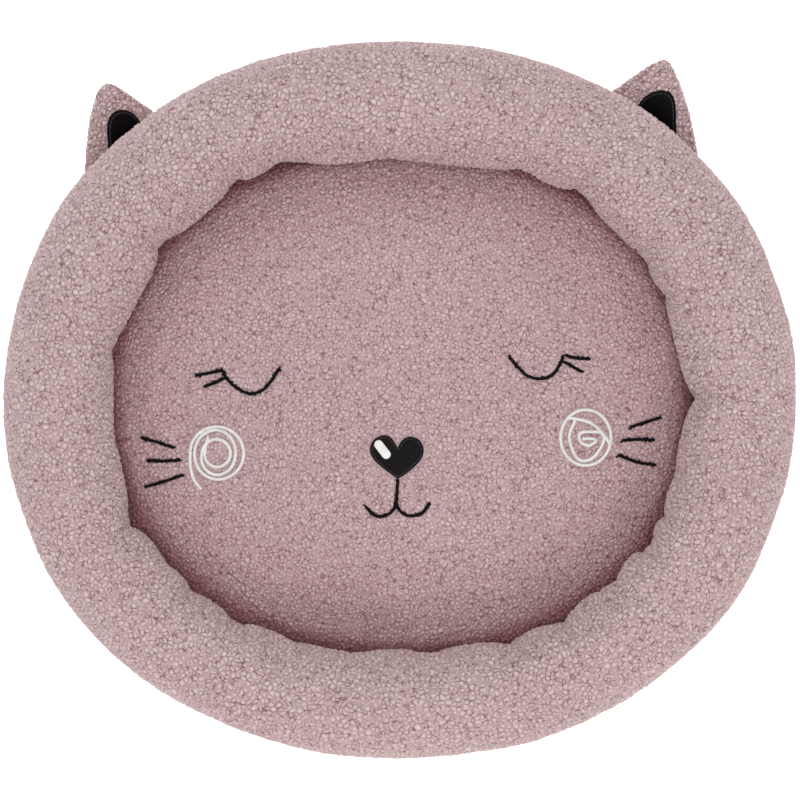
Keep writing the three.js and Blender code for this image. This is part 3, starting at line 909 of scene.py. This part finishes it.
def make_cushion():
    rows, columns = 46, 52
    top = cushion_grid(rows, columns, 1.2 * MM, 1.015)
    faces, uvs = grid_faces(rows, columns)
    uvs = uvs * (0.7, 1)
    working = new_piece("cushion_shape", top, faces, [], uvs)
    share = cushion_plan(rows, columns)[2].ravel()
    under = top.copy()
    under[:, 2] = TUBE_FLOOR
    closed = new_piece(
        "cushion_pillow",
        np.vstack([top, under]),
        np.vstack([faces, faces[:, ::-1] + len(top), rim_faces(rows, columns)]),
        [],
    )
    held = np.concatenate([smoothstep(0.86, 1.0, share), np.ones(len(under))])
    puffed(closed, held, 3, 4 * MM, 0.01)
    set_vertices(working.data, vertices_of(closed.data)[: len(top)])
    bpy.data.objects.remove(closed)
    working.name = "cushion"
    working.data.materials.append(cushion_cloth)
    refined(working, 3)
    mesh = working.data
    points = vertices_of(mesh)
    points[:, 2] += cushion_relief(points)
    set_vertices(mesh, points)
    tree = surface_of(working)
    flat = points[:, :2] / MM
    pressed = np.zeros(len(points))
    for lines, near, far in pressed_lines():
        pressed = np.maximum(pressed, 1 - smoothstep(near, far, distance_to(flat, lines)))
    pressed[inside(flat, heart_outline())] = 1
    grow_pile(working, CUSHION_CURL, 1.4 * MM, 23, pressed)
    out = np.abs(flat[:, 0] * MM / CUSHION[0]) ** OVAL_POWER
    out = out + np.abs(flat[:, 1] * MM / CUSHION[1]) ** OVAL_POWER
    out = out ** (1 / OVAL_POWER)
    # Painted shade: the cushion's fleece is darkened towards its rim, in the fold beside the bolster.
    store(mesh, RIM_SHADE, 0.5 * smoothstep(0.55, 0.93, out) + 0.5 * smoothstep(0.92, 1.0, out))
    close_underside(working, TUBE_FLOOR)
    stand_in(working, "root", "cushion_fleece", "cushion_panel")
    return tree


def rim_faces(rows, columns):
    """Quads that join the edges of two equal grids, one above the other."""
    index = np.arange(rows * columns).reshape(rows, columns)
    loop = np.concatenate(
        [index[0, :-1], index[:-1, -1], index[-1, :0:-1], index[:0:-1, 0]]
    )
    below = loop + rows * columns
    return np.stack([loop, below, np.roll(below, -1), np.roll(loop, -1)], axis=1)


def pressed_lines():
    """The face's lines with how near the pile is pressed flat and how far it stands free."""
    black = np.vstack([curved(points) for points in BLACK_LINES.values()])
    white = np.vstack([*left_cheek_lines(), *right_cheek_lines()])
    return [(black, 0.7, 1.9), (white, 0.9, 2.3), (heart_outline(), 0.6, 2.2)]


def make_cushion_filling():
    rows, columns = 40, 46
    top = cushion_grid(rows, columns, 6 * MM, 0.95)
    under = top.copy()
    under[:, 2] = TUBE_FLOOR + 1 * MM
    top[:, 2] = np.maximum(top[:, 2], TUBE_FLOOR + 2 * MM)
    faces, _ = grid_faces(rows, columns)
    every = np.vstack([faces, faces[:, ::-1] + len(top), rim_faces(rows, columns)])
    piece = new_piece("cushion_filling", np.vstack([top, under]), every, [fibre_fill])
    points = vertices_of(piece.data)
    lumps = noise(points, 20 * MM, 33)[:, 0] * 1.2 * MM
    lumps[len(top) :] = 0
    points[:, 2] += lumps
    set_vertices(piece.data, points)
    stand_in(piece, "root", "fibre_filling", "cushion_fill")


# ---- Stitches ----


def capsules(centres, along, across, up, half_lengths, radii, arch):
    """Many small bent stitches as one mesh: points and faces. Each runs along its own direction."""
    stations = np.array([-1.0, -0.86, -0.45, 0.0, 0.45, 0.86, 1.0])
    girth = np.array([0.25, 0.72, 1.0, 1.0, 1.0, 0.72, 0.25])
    sides = 6
    angle = np.arange(sides) / sides * 2 * math.pi
    count = len(centres)
    middle = centres[:, None, :] + along[:, None, :] * (half_lengths[:, None] * stations)[:, :, None]
    middle = middle + up[:, None, :] * (arch[:, None] * (1 - stations**2))[:, :, None]
    ring = across[:, None, None, :] * np.cos(angle)[None, None, :, None]
    ring = ring + up[:, None, None, :] * np.sin(angle)[None, None, :, None]
    size = radii[:, None] * girth
    points = middle[:, :, None, :] + ring * size[:, :, None, None]
    faces, _ = grid_faces(len(stations), sides, False, True)
    each = len(stations) * sides
    starts = (np.arange(count) * each)[:, None, None]
    quads = (faces[None] + starts).reshape(-1, 4)
    caps = []
    for first in (np.arange(sides)[::-1], np.arange(sides) + each - sides):
        caps.append((first[None] + starts[:, 0]).reshape(-1, sides))
    return points.reshape(-1, 3), quads[:, ::-1].tolist() + [c[::-1].tolist() for c in np.vstack(caps)]


def seated(line, tree, lift):
    """A flat line in millimetres, laid on the surface in metres, with its frame at each point."""
    places, normals = zip(*[on_surface(tree, x * MM, y * MM) for x, y in line])
    places, normals = np.array(places), np.array(normals)
    forward = np.gradient(places, axis=0)
    forward /= np.linalg.norm(forward, axis=1, keepdims=True)
    side = np.cross(normals, forward)
    side /= np.linalg.norm(side, axis=1, keepdims=True)
    return places + normals * lift, forward, side, normals


def stitch_line(line, tree, width, spacing, slant, lift, uneven, random):
    """Slanted stitches laid side by side along a line, over a thin core."""
    count = max(2, round(len(line) * 0.5 / spacing))
    places, forward, side, up = seated(evenly(line, len(line) * 0.5 / count), tree, lift)
    count = len(places)
    jitter = random.normal(0, 1, (5, count))
    lean = slant + jitter[0] * 0.22 * uneven
    cosine, sine = np.cos(lean)[:, None], np.sin(lean)[:, None]
    along = side * cosine + forward * sine
    across = np.cross(up, along)
    half = width / 2 * (1 + 0.14 * uneven * jitter[1])
    radii = spacing * MM * 0.62 * (1 + 0.12 * uneven * jitter[2])
    centres = places + side * (jitter[3] * 0.08 * uneven * width)[:, None]
    centres = centres + up * (jitter[4] * 0.1 * uneven * MM)[:, None]
    arch = np.full(count, 0.38 * MM)
    stitches = capsules(centres, along, across, up, half, radii, arch)
    core = core_tube(places, side, up, width * 0.4, 0.42 * MM)
    return [stitches, core]


def core_tube(places, side, up, half_width, half_height):
    sides = 8
    angle = np.arange(sides) / sides * 2 * math.pi
    taper = np.ones(len(places))
    taper[[0, -1]] = 0.35
    ring = side[:, None, :] * (np.cos(angle) * half_width)[None, :, None]
    ring = ring + up[:, None, :] * (np.sin(angle) * half_height)[None, :, None]
    points = places[:, None, :] + ring * taper[:, None, None]
    faces, _ = grid_faces(len(places), sides, False, True)
    last = (len(places) - 1) * sides
    caps = [list(range(sides)), [last + i for i in range(sides)][::-1]]
    return points.reshape(-1, 3), faces.tolist() + caps


def joined(shapes):
    """Several shapes' points and faces as one."""
    points, faces, start = [], [], 0
    for some, more in shapes:
        points.append(some)
        faces += [[i + start for i in face] for face in more]
        start += len(some)
    return np.vstack(points), faces


def outward(piece):
    """Turns every face outwards."""
    shape = bmesh.new()
    shape.from_mesh(piece.data)
    bmesh.ops.recalc_face_normals(shape, faces=shape.faces)
    shape.to_mesh(piece.data)
    shape.free()
    return piece


def lines_piece(name, shapes, material):
    points, faces = joined(shapes)
    mesh = bpy.data.meshes.new(name)
    mesh.from_pydata(points.tolist(), [], faces)
    mesh.materials.append(material)
    mesh.shade_smooth()
    piece = bpy.data.objects.new(name, mesh)
    bpy.context.scene.collection.objects.link(piece)
    return outward(piece)


def make_embroidery(tree):
    random = np.random.default_rng(5)
    for node, points in BLACK_LINES.items():
        shapes = stitch_line(curved(points), tree, BLACK_WIDTH, 1.0, 0.7, 0.05 * MM, 1.7, random)
        piece = lines_piece(node + "_stitches", shapes, black_cotton)
        stand_in(piece, "root", "black_thread", node)
    for node, lines in (
        ("left_cheek_swirl", left_cheek_lines()),
        ("right_cheek_swirl", right_cheek_lines()),
    ):
        shapes = []
        for number, line in enumerate(lines):
            lift = (0.35 + 0.12 * number) * MM
            shapes += stitch_line(line, tree, WHITE_WIDTH, 0.62, 0.25, lift, 0.35, random)
        piece = lines_piece(node + "_stitches", shapes, white_cotton)
        stand_in(piece, "root", "white_thread", node)


# ---- The nose ----


def pulled_in(outline, distance):
    """An outline moved inwards, in the outline's own units."""
    ahead = np.roll(outline, -1, axis=0) - np.roll(outline, 1, axis=0)
    ahead /= np.linalg.norm(ahead, axis=1, keepdims=True)
    inwards = np.stack([-ahead[:, 1], ahead[:, 0]], axis=1)
    area = np.sum(outline[:, 0] * np.roll(outline[:, 1], -1) - outline[:, 1] * np.roll(outline[:, 0], -1))
    return outline + inwards * distance * np.sign(area)


def plate_piece(name, outline, tree, lift, thickness, cell, materials, relief):
    """A thin applique over an outline given in millimetres, with a rolled edge.
    relief gives the top's height from the flat places and their distance to the edge."""
    low, high = outline.min(axis=0) - cell, outline.max(axis=0) + cell
    columns = int((high[0] - low[0]) / cell) + 1
    rows = int((high[1] - low[1]) / cell) + 1
    x, y = np.meshgrid(low[0] + np.arange(columns) * cell, low[1] + np.arange(rows) * cell)
    flat = np.stack([x.ravel(), y.ravel()], axis=1)
    dense = evenly(np.vstack([outline, outline[:1]]), 0.15)
    faces, _ = grid_faces(rows, columns)
    kept = inside(flat[faces].mean(axis=1), outline)
    faces = faces[kept]
    used, faces = np.unique(faces, return_inverse=True)
    faces = faces.reshape(-1, 4)
    flat = flat[used]
    edge_count = np.zeros((len(used), 2))
    pairs = np.sort(np.concatenate([faces[:, [i, (i + 1) % 4]] for i in range(4)]), axis=1)
    pairs, uses = np.unique(pairs, axis=0, return_counts=True)
    rim = np.unique(pairs[uses == 1])
    for index in rim:
        gaps = np.linalg.norm(dense - flat[index], axis=1)
        edge_count[index] = dense[gaps.argmin()] - flat[index]
    flat = flat + edge_count
    away = distance_to(flat, dense)
    heights = relief(flat, away)
    places = np.array([on_surface(tree, px * MM, py * MM)[0] for px, py in flat])
    top = places.copy()
    top[:, 2] += lift + thickness * heights
    bottom = places.copy()
    bottom[:, 2] += lift
    ring = [(a, b) for face in faces for a, b in zip(face, np.roll(face, -1))]
    taken = {tuple(p) for p in pairs[uses == 1].tolist()}
    walls = [
        [a, a + len(top), b + len(top), b] for a, b in ring if (min(a, b), max(a, b)) in taken
    ]
    every = faces.tolist() + (faces[:, ::-1] + len(top)).tolist() + [[int(i) for i in w] for w in walls]
    return outward(new_piece(name, np.vstack([top, bottom]), every, materials))


def rolled(away, width):
    """The rise of a rolled edge."""
    return np.sqrt(np.clip(1 - (1 - np.minimum(away / width, 1)) ** 2, 0, 1))


def make_nose(tree):
    outline = heart_outline(0.5)

    def heart_relief(flat, away):
        groove = np.exp(-(((away - 1.5) / 0.35) ** 2))
        threads = 0.05 * noise(np.c_[flat, flat[:, :1] * 0], 0.8, 61)[:, 0]
        return 0.35 + 0.65 * rolled(away, 1.3) + 0.25 * rolled(away, 7) - 0.3 * groove + threads

    heart = plate_piece(
        "nose_heart_patch", outline, tree, -0.3 * MM, 1.9 * MM, 0.42, [satin_cloth], heart_relief
    )
    highlight_line = highlight_outline()

    def highlight_relief(flat, away):
        return 0.5 + 0.5 * rolled(away, 0.9)

    highlight = plate_piece(
        "nose_highlight_patch",
        highlight_line,
        surface_of(heart),
        0.1 * MM,
        0.8 * MM,
        0.4,
        [white_cotton],
        highlight_relief,
    )
    seam = running_stitch(pulled_in(outline, 1.5), surface_of(heart), 2.4, 0.5, 0.2, 0.05 * MM)
    stitching = lines_piece("nose_heart_stitching", seam, grey_cotton)
    for piece, node, slot in (
        (heart, "nose_heart", "black_satin"),
        (highlight, "nose_highlight", "white_thread"),
    ):
        stand_in(piece, "root", slot, node)
    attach(stitching, "root")


def running_stitch(line, tree, length, gap, radius, lift):
    """Separate small stitches along a flat line in millimetres."""
    even = evenly(np.vstack([line, line[:1]]), length + gap)
    middle = (even[:-1] + even[1:]) / 2
    places, forward, side, up = seated(middle, tree, lift)
    ahead = np.array([np.append(d, 0) for d in even[1:] - even[:-1]])
    ahead /= np.linalg.norm(ahead, axis=1, keepdims=True)
    count = len(places)
    half = np.full(count, length / 2 * MM)
    return [
        capsules(
            places,
            ahead,
            np.cross(up, ahead),
            up,
            half,
            np.full(count, radius * MM),
            np.full(count, 0.15 * MM),
        )
    ]


# ---- The ears ----

EAR_TIP_OFFSET = 26 * MM
EAR_SIDE_POWER = 0.75
EAR_ROUNDING = 2.5 * MM  # how far its tip's corners are drawn in
# Each ear's half width along its seam, length, how blunt its tip is, and its patch's reach, shift
# and lean, which is how far the patch's rounded end lies back from the tip's side.
EAR_SHAPES = {
    "left": (39.5 * MM, 43.5 * MM, 0.06, 0.5, 9.4 * MM, 5.2 * MM),
    "right": (45.5 * MM, 45.5 * MM, 0.015, 0.59, 3.4 * MM, 7.1 * MM),
}
EAR_ROOT_GAP = 5 * MM
EAR_TUCK = 5 * MM  # how far the visible ear runs in under the bolster's pile
EAR_ALLOWANCE = 0.3  # the flat seam allowance inside the bolster, as a share of the ear's length
EAR_PANEL = 2.2 * MM
EAR_PUFF = 4.4 * MM
EAR_PINCH = 0.15 * MM
EAR_LIFT = 30
PATCH_SPREAD = 0.38
PATCH_FOOT = -0.06  # its straight edge, hidden under the bolster's pile
JOINTS = {joint["child"]: joint for joint in frame["joints"]}


class EarFrame:
    """An ear's own axes, from its hinge: u along its seam, v out to its tip, w off its front."""

    def __init__(self, side):
        joint = JOINTS[side + "_ear"]
        self.half_width, self.length, self.blunt = EAR_SHAPES[side][:3]
        self.patch_reach, self.patch_shift, self.patch_lean = EAR_SHAPES[side][3:]
        pieces = [np.array(corner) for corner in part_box(side + "_ear_front_panel")]
        self.origin = np.array(joint["pos_m"], float)
        outward_way = self.origin[:2] / np.hypot(*self.origin[:2])
        u = np.array(joint["axis"], float)
        u /= np.linalg.norm(u)
        level = np.cross([0, 0, 1], u)
        if level[:2] @ outward_way < 0:
            level = -level
        self.u = np.cross(level, [0, 0, 1])
        lift = math.radians(EAR_LIFT)
        self.v = level * math.cos(lift) + np.array([0, 0, 1]) * math.sin(lift)
        self.w = np.cross(self.u, self.v)
        self.level = level
        middle = (pieces[0] + pieces[1]) / 2
        self.tip_way = np.sign((middle - self.origin) @ self.u)

    def place(self, u, v, w):
        point = self.origin + np.multiply.outer(u, self.u)
        point = point + np.multiply.outer(v, self.v)
        return point + np.multiply.outer(w, self.w)


def seam_fall_back(distance):
    """How far the bolster falls back from the seam's straight line."""
    reach = [half + 36.4 * MM for half in RING]
    radius = (reach[0] ** 2 + reach[1] ** 2) / (reach[0] + reach[1])
    return radius - np.sqrt(radius**2 - distance**2)


def ear_plan(s, t, ear, tuck=0.0):
    root_u = s * ear.half_width
    root_v = EAR_ROOT_GAP - tuck * (1 + s * s) - seam_fall_back(root_u)
    narrowing = np.clip(1 - t * (1 - ear.blunt), 0, 1) ** EAR_SIDE_POWER
    u = root_u * narrowing + EAR_TIP_OFFSET * ear.tip_way * (1 - narrowing)
    v = root_v + (ear.length - root_v) * t
    v = v - EAR_ROUNDING * np.abs(s) ** 3 * smoothstep(0.8, 1.0, t)
    return u, v


def ear_swell(s, t):
    across = np.clip(1 - s * s, 0, 1) ** 0.7
    along = np.clip(4 * t * (1 - t), 0, 1) ** 0.6
    return EAR_PINCH + EAR_PUFF * across * along


def pillow(name, rows, columns, place, material):
    """A closed pillow from a front and a back grid that share their edge.
    place(s, t, side) gives points, with side 1 for the front and -1 for the back."""
    t, s = np.meshgrid(np.linspace(0, 1, rows), np.linspace(-1, 1, columns), indexing="ij")
    front = place(s, t, 1).reshape(-1, 3)
    back = place(s, t, -1).reshape(-1, 3)
    index = np.arange(rows * columns).reshape(rows, columns)
    inner = np.zeros((rows, columns), bool)
    inner[1:-1, 1:-1] = True
    back_index = index.copy()
    back_index[inner] = rows * columns + np.arange(inner.sum())
    faces, uvs = grid_faces(rows, columns)
    back_faces = back_index.ravel()[faces][:, ::-1]
    points = np.vstack([front, back[inner.ravel()]])
    edge = ~inner.ravel()
    points[: len(front)][edge] = (front[edge] + back[edge]) / 2
    every_uv = np.vstack([uvs * (0.48, 1), uvs[:, ::-1] * (0.48, 1) + (0.52, 0)])
    return new_piece(name, points, np.vstack([faces, back_faces]), [material], every_uv)


def make_ear(side):
    ear = EarFrame(side)
    body = side + "_ear"

    def skin(s, t, face):
        reach = t * (1 + EAR_ALLOWANCE) - EAR_ALLOWANCE
        u, v = ear_plan(s, reach, ear, EAR_TUCK)
        swell = ear_swell(s, np.clip(reach, 0.001, 0.985)) + EAR_PANEL - 0.6 * MM
        swell = swell * np.clip(1 - np.abs(s) ** 8, 0.25, 1)
        return ear.place(u, v, face * swell)

    cover = pillow(side + "_ear_cover", 18, 20, skin, bolster_cloth)
    points = vertices_of(cover.data) - ear.origin
    held = 1 - smoothstep(2 * MM, 9 * MM, points @ ear.v)
    puffed(cover, np.clip(held, 0, 1), 3, 1.6 * MM)
    refined(cover, 3)
    places = uv_of(cover.data)
    front = places[:, 0] < 0.5
    across = np.where(front, places[:, 0] / 0.48, (places[:, 0] - 0.52) / 0.48) * 2 - 1
    groove = np.exp(-(((np.abs(across) - 0.8) / 0.05) ** 2)) * smoothstep(0.05, 0.2, places[:, 1])
    surface = vertices_of(cover.data) - normals_of(cover.data) * (groove * 1.1 * MM)[:, None]
    set_vertices(cover.data, surface)
    tree = surface_of(cover)
    local = surface - ear.origin
    flat = np.stack([local @ ear.u, local @ ear.v], axis=1) / MM
    outline = patch_outline(ear)
    pressed = np.where(
        inside(flat, outline) & (normals_of(cover.data) @ ear.w > 0),
        1.0,
        0.0,
    )
    edge = np.maximum(smoothstep(0.86, 0.98, np.abs(across)), smoothstep(0.9, 1.0, places[:, 1]))
    pressed = np.maximum(pressed, 0.3 * edge)
    grow_pile(cover, BOLSTER_CURL, 1.5 * MM, 53, pressed)
    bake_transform(cover)
    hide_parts(body + "_front_panel", body + "_back_panel")
    make_ear_filling(side, ear, body)
    make_patch(side, ear, body, tree, outline)


def make_ear_filling(side, ear, body):
    def stuffing(s, t, face):
        reach = 0.12 + 0.7 * t
        u, v = ear_plan(s * 0.72, reach, ear)
        swell = np.clip(ear_swell(s, 0.1 + 0.8 * t) - 1.2 * MM, 0.3 * MM, 1)
        return ear.place(u, v, face * swell)

    piece = pillow(side + "_ear_filling", 8, 10, stuffing, fibre_fill)
    refined(piece, 1)
    stand_in(piece, body, "fibre_filling", body + "_fill")


def patch_outline(ear):
    """The satin patch's edge in the ear's own flat axes, in millimetres."""
    t = PATCH_FOOT + (ear.patch_reach - PATCH_FOOT) * np.sin(np.linspace(0, math.pi / 2, 24))
    share = PATCH_SPREAD * np.clip(1 - (np.maximum(t, 0) / ear.patch_reach) ** 3.6, 0, 1) ** 0.5
    right = np.stack(ear_plan(share, t, ear), axis=1)
    left = np.stack(ear_plan(-share, t, ear), axis=1)
    for side in (right, left):
        side[:, 0] += ear.tip_way * (ear.patch_shift - ear.patch_lean * (t / ear.patch_reach) ** 2)
    outline = np.vstack([right, left[-2::-1]]) / MM
    return evenly(np.vstack([outline, outline[:1]]), 0.6)[:-1]


class EarSurface:
    """An ear's front, looked at along w as if it lay flat, so that flat tools work on it."""

    def __init__(self, ear, tree):
        self.ear = ear
        self.tree = tree

    def ray_cast(self, start, direction):
        ear = self.ear
        x, y = start.x, start.y
        origin = ear.place(x, y, 0.05)
        point, normal, index, distance = self.tree.ray_cast(Vector(origin), Vector(-ear.w))
        if point is None:
            point = Vector(ear.place(x, y, 3 * MM))
            normal = Vector(ear.w)
        local = np.array(point) - ear.origin
        flat_point = Vector((local @ ear.u, local @ ear.v, local @ ear.w))
        turned = np.array(normal)
        flat_normal = Vector((turned @ ear.u, turned @ ear.v, turned @ ear.w))
        return flat_point, flat_normal, index, distance


def to_ear(piece, ear):
    points = vertices_of(piece.data)
    set_vertices(piece.data, ear.place(points[:, 0], points[:, 1], points[:, 2]))
    return piece


def make_patch(side, ear, body, tree, outline):
    surface = EarSurface(ear, tree)

    def relief(flat, away):
        groove = np.exp(-(((away - 1.6) / 0.35) ** 2))
        return 0.3 + 0.7 * rolled(away, 1.1) + 0.2 * rolled(away, 9) - 0.3 * groove

    name = side + "_ear_patch"
    patch = plate_piece(name, outline, surface, -0.4 * MM, 1.7 * MM, 0.55, [satin_cloth], relief)
    seam = running_stitch(pulled_in(outline, 1.6), surface_of(patch), 2.4, 0.5, 0.2, 0.05 * MM)
    stitching = lines_piece(name + "_stitching", seam, grey_cotton)
    for piece in (patch, stitching):
        to_ear(piece, ear)
        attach(piece, body)
    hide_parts(body + "_inner_patch")


# ---- The base ----

SHEET_THICKNESS = 1.0 * MM
DOT_RISE = 0.5 * MM
DOT_SPACING = 13 * MM
BASE_SEAM_INSET = 3 * MM
DOT_RADIUS = 1.9 * MM
DOT_LIMIT = 0.93  # how near the bolster's middle line the dots go
BASE_LIFT = 1.55  # the sheet's edge, as a share of the bolster's bare rise there


def underside_height(offset):
    """The height of the bolster's skin at an offset from its centre line, on its lower side."""
    share = np.clip(np.abs(offset) / TUBE_HALF_WIDTH, 0, 1)
    return TUBE_CENTRE - TUBE_HALF_HEIGHT * (1 - share**UNDERSIDE_POWER) ** (1 / UNDERSIDE_POWER)


def base_top(x, y):
    """The base sheet's upper side: flat, and turned up at its edge to meet the bolster."""
    share = (np.abs(x / RING[0]) ** OVAL_POWER + np.abs(y / RING[1]) ** OVAL_POWER) ** (1 / OVAL_POWER)
    offset = np.hypot(x, y) * (1 - 1 / np.maximum(share, 0.05))
    lifted = underside_height(np.clip(offset, 0, COVER_MARGIN)) - underside_height(0)
    lifted = lifted * BASE_LIFT
    return DOT_RISE + SHEET_THICKNESS + np.where(offset > 0, lifted, 0)


def make_base():
    rows, columns = 60, 66
    x, y, _ = oval_grid(rows, columns)
    x = x * (RING[0] + COVER_MARGIN)
    y = y * (RING[1] + COVER_MARGIN)
    height = base_top(x, y)
    top = np.stack([x, y, height], axis=-1).reshape(-1, 3)
    under = top - (0, 0, SHEET_THICKNESS)
    faces, _ = grid_faces(rows, columns)
    every = np.vstack([faces, faces[:, ::-1] + len(top), rim_faces(rows, columns)])
    sheet = new_piece("base_sheet", np.vstack([top, under]), every, [base_cloth()])
    dots = make_dots()
    seam = make_base_seam()
    stand_in(sheet, "root", "base_fabric", "base_panel")


def make_dots():
    """Small rubber grip dots under the base."""
    sides, rings = 8, ((1.0, 0.0), (0.8, 0.75), (0.35, 1.0))
    angle = np.arange(sides) / sides * 2 * math.pi
    spots = []
    for row in range(-18, 19):
        for column in range(-21, 22):
            x = (column + 0.5 * (row % 2)) * DOT_SPACING
            y = row * DOT_SPACING * 0.87
            share = abs(x / RING[0]) ** OVAL_POWER + abs(y / RING[1]) ** OVAL_POWER
            if share < DOT_LIMIT:
                spots.append((x, y))
    shapes = []
    for x, y in spots:
        points = []
        for size, drop in rings:
            for a in angle:
                reach = DOT_RADIUS * size
                height = DOT_RISE * (1 - drop)
                points.append((x + reach * math.cos(a), y + reach * math.sin(a), height))
        faces, _ = grid_faces(len(rings), sides, False, True)
        caps = [list(range(sides)), [2 * sides + i for i in range(sides)][::-1]]
        shapes.append((np.array(points), faces.tolist() + caps))
    piece = lines_piece("base_grip_dots", shapes, grip_rubber())
    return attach(piece, "root")


def make_base_seam():
    """Stitches that hold the base sheet's edge to the bolster."""
    count = 330
    turn = np.arange(count) / count * 2 * math.pi
    margin = COVER_MARGIN - BASE_SEAM_INSET
    x = (RING[0] + margin) * signed_power(np.cos(turn), 2 / OVAL_POWER)
    y = (RING[1] + margin) * signed_power(np.sin(turn), 2 / OVAL_POWER)
    z = base_top(x, y) - SHEET_THICKNESS - 0.1 * MM
    places = np.stack([x, y, z], axis=1)
    ahead = np.roll(places, -1, axis=0) - np.roll(places, 1, axis=0)
    ahead /= np.linalg.norm(ahead, axis=1, keepdims=True)
    up = np.tile([0.0, 0.0, -1.0], (count, 1))
    shape = capsules(
        places,
        ahead,
        np.cross(up, ahead),
        up,
        np.full(count, 1.6 * MM),
        np.full(count, 0.4 * MM),
        np.full(count, 0.2 * MM),
    )
    piece = lines_piece("base_seam_stitching", [shape], pink_cotton)
    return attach(piece, "root")


# ---- Stage ----

LENS = 180
SENSOR = 36
FLOOR_REACH = 20
VIEW_WIDTH = 557 * MM  # the width that the camera takes in, at the bolster's middle height


def make_stage():
    mesh = bpy.data.meshes.new("floor")
    corners = [(-1, -1), (1, -1), (1, 1), (-1, 1)]
    places = [(x * FLOOR_REACH, y * FLOOR_REACH, -0.2 * MM) for x, y in corners]
    mesh.from_pydata(places, [], [(0, 1, 2, 3)])
    floor = bpy.data.objects.new("floor", mesh)
    bpy.context.scene.collection.objects.link(floor)
    nodes = MaterialNodes("white_floor")
    nodes.set(Base_Color=(0.9, 0.9, 0.9, 1), Roughness=0.9, Specular_IOR_Level=0.1)
    nodes.set(Emission_Color=(1, 1, 1, 1), Emission_Strength=0.75)
    mesh.materials.append(nodes.material)


def add_light(name, place, energy, size, colour):
    data = bpy.data.lights.new(name, "AREA")
    data.energy = energy
    data.size = size
    data.color = colour
    light = bpy.data.objects.new(name, data)
    light.location = place
    light.rotation_mode = "QUATERNION"
    light.rotation_quaternion = (Vector((0, 0, 0.03)) - Vector(place)).to_track_quat("-Z", "Y")
    bpy.context.scene.collection.objects.link(light)


def make_lights():
    world = bpy.data.worlds.new("studio")
    bpy.context.scene.world = world
    world.use_nodes = True
    background = world.node_tree.nodes["Background"]
    background.inputs["Color"].default_value = (1, 1, 1, 1)
    background.inputs["Strength"].default_value = 0.62
    add_light("key", (0.4, -1.7, 1.6), 10, 1.2, (1.0, 0.95, 0.9))
    add_light("fill", (-0.9, 1.4, 1.9), 6, 1.6, (0.93, 0.96, 1.0))
    add_light("overhead", (0, 0.1, 2.9), 21, 1.2, (1.0, 0.99, 0.98))
    bpy.context.scene.view_settings.view_transform = "Standard"


def make_camera():
    data = bpy.data.cameras.new("camera")
    data.type = "PERSP"
    data.lens = LENS
    data.sensor_width = SENSOR
    data.dof.use_dof = False
    camera = bpy.data.objects.new("camera", data)
    camera.location = (0, -0.4 * MM, TUBE_CENTRE + VIEW_WIDTH * LENS / SENSOR)
    bpy.context.scene.collection.objects.link(camera)
    bpy.context.scene.camera = camera


make_camera()
make_stage()
make_lights()
make_base()
make_bolster()
make_bolster_filling()
face_surface = make_cushion()
make_cushion_filling()
make_embroidery(face_surface)
make_nose(face_surface)
for ear_side in ("left", "right"):
    make_ear(ear_side)
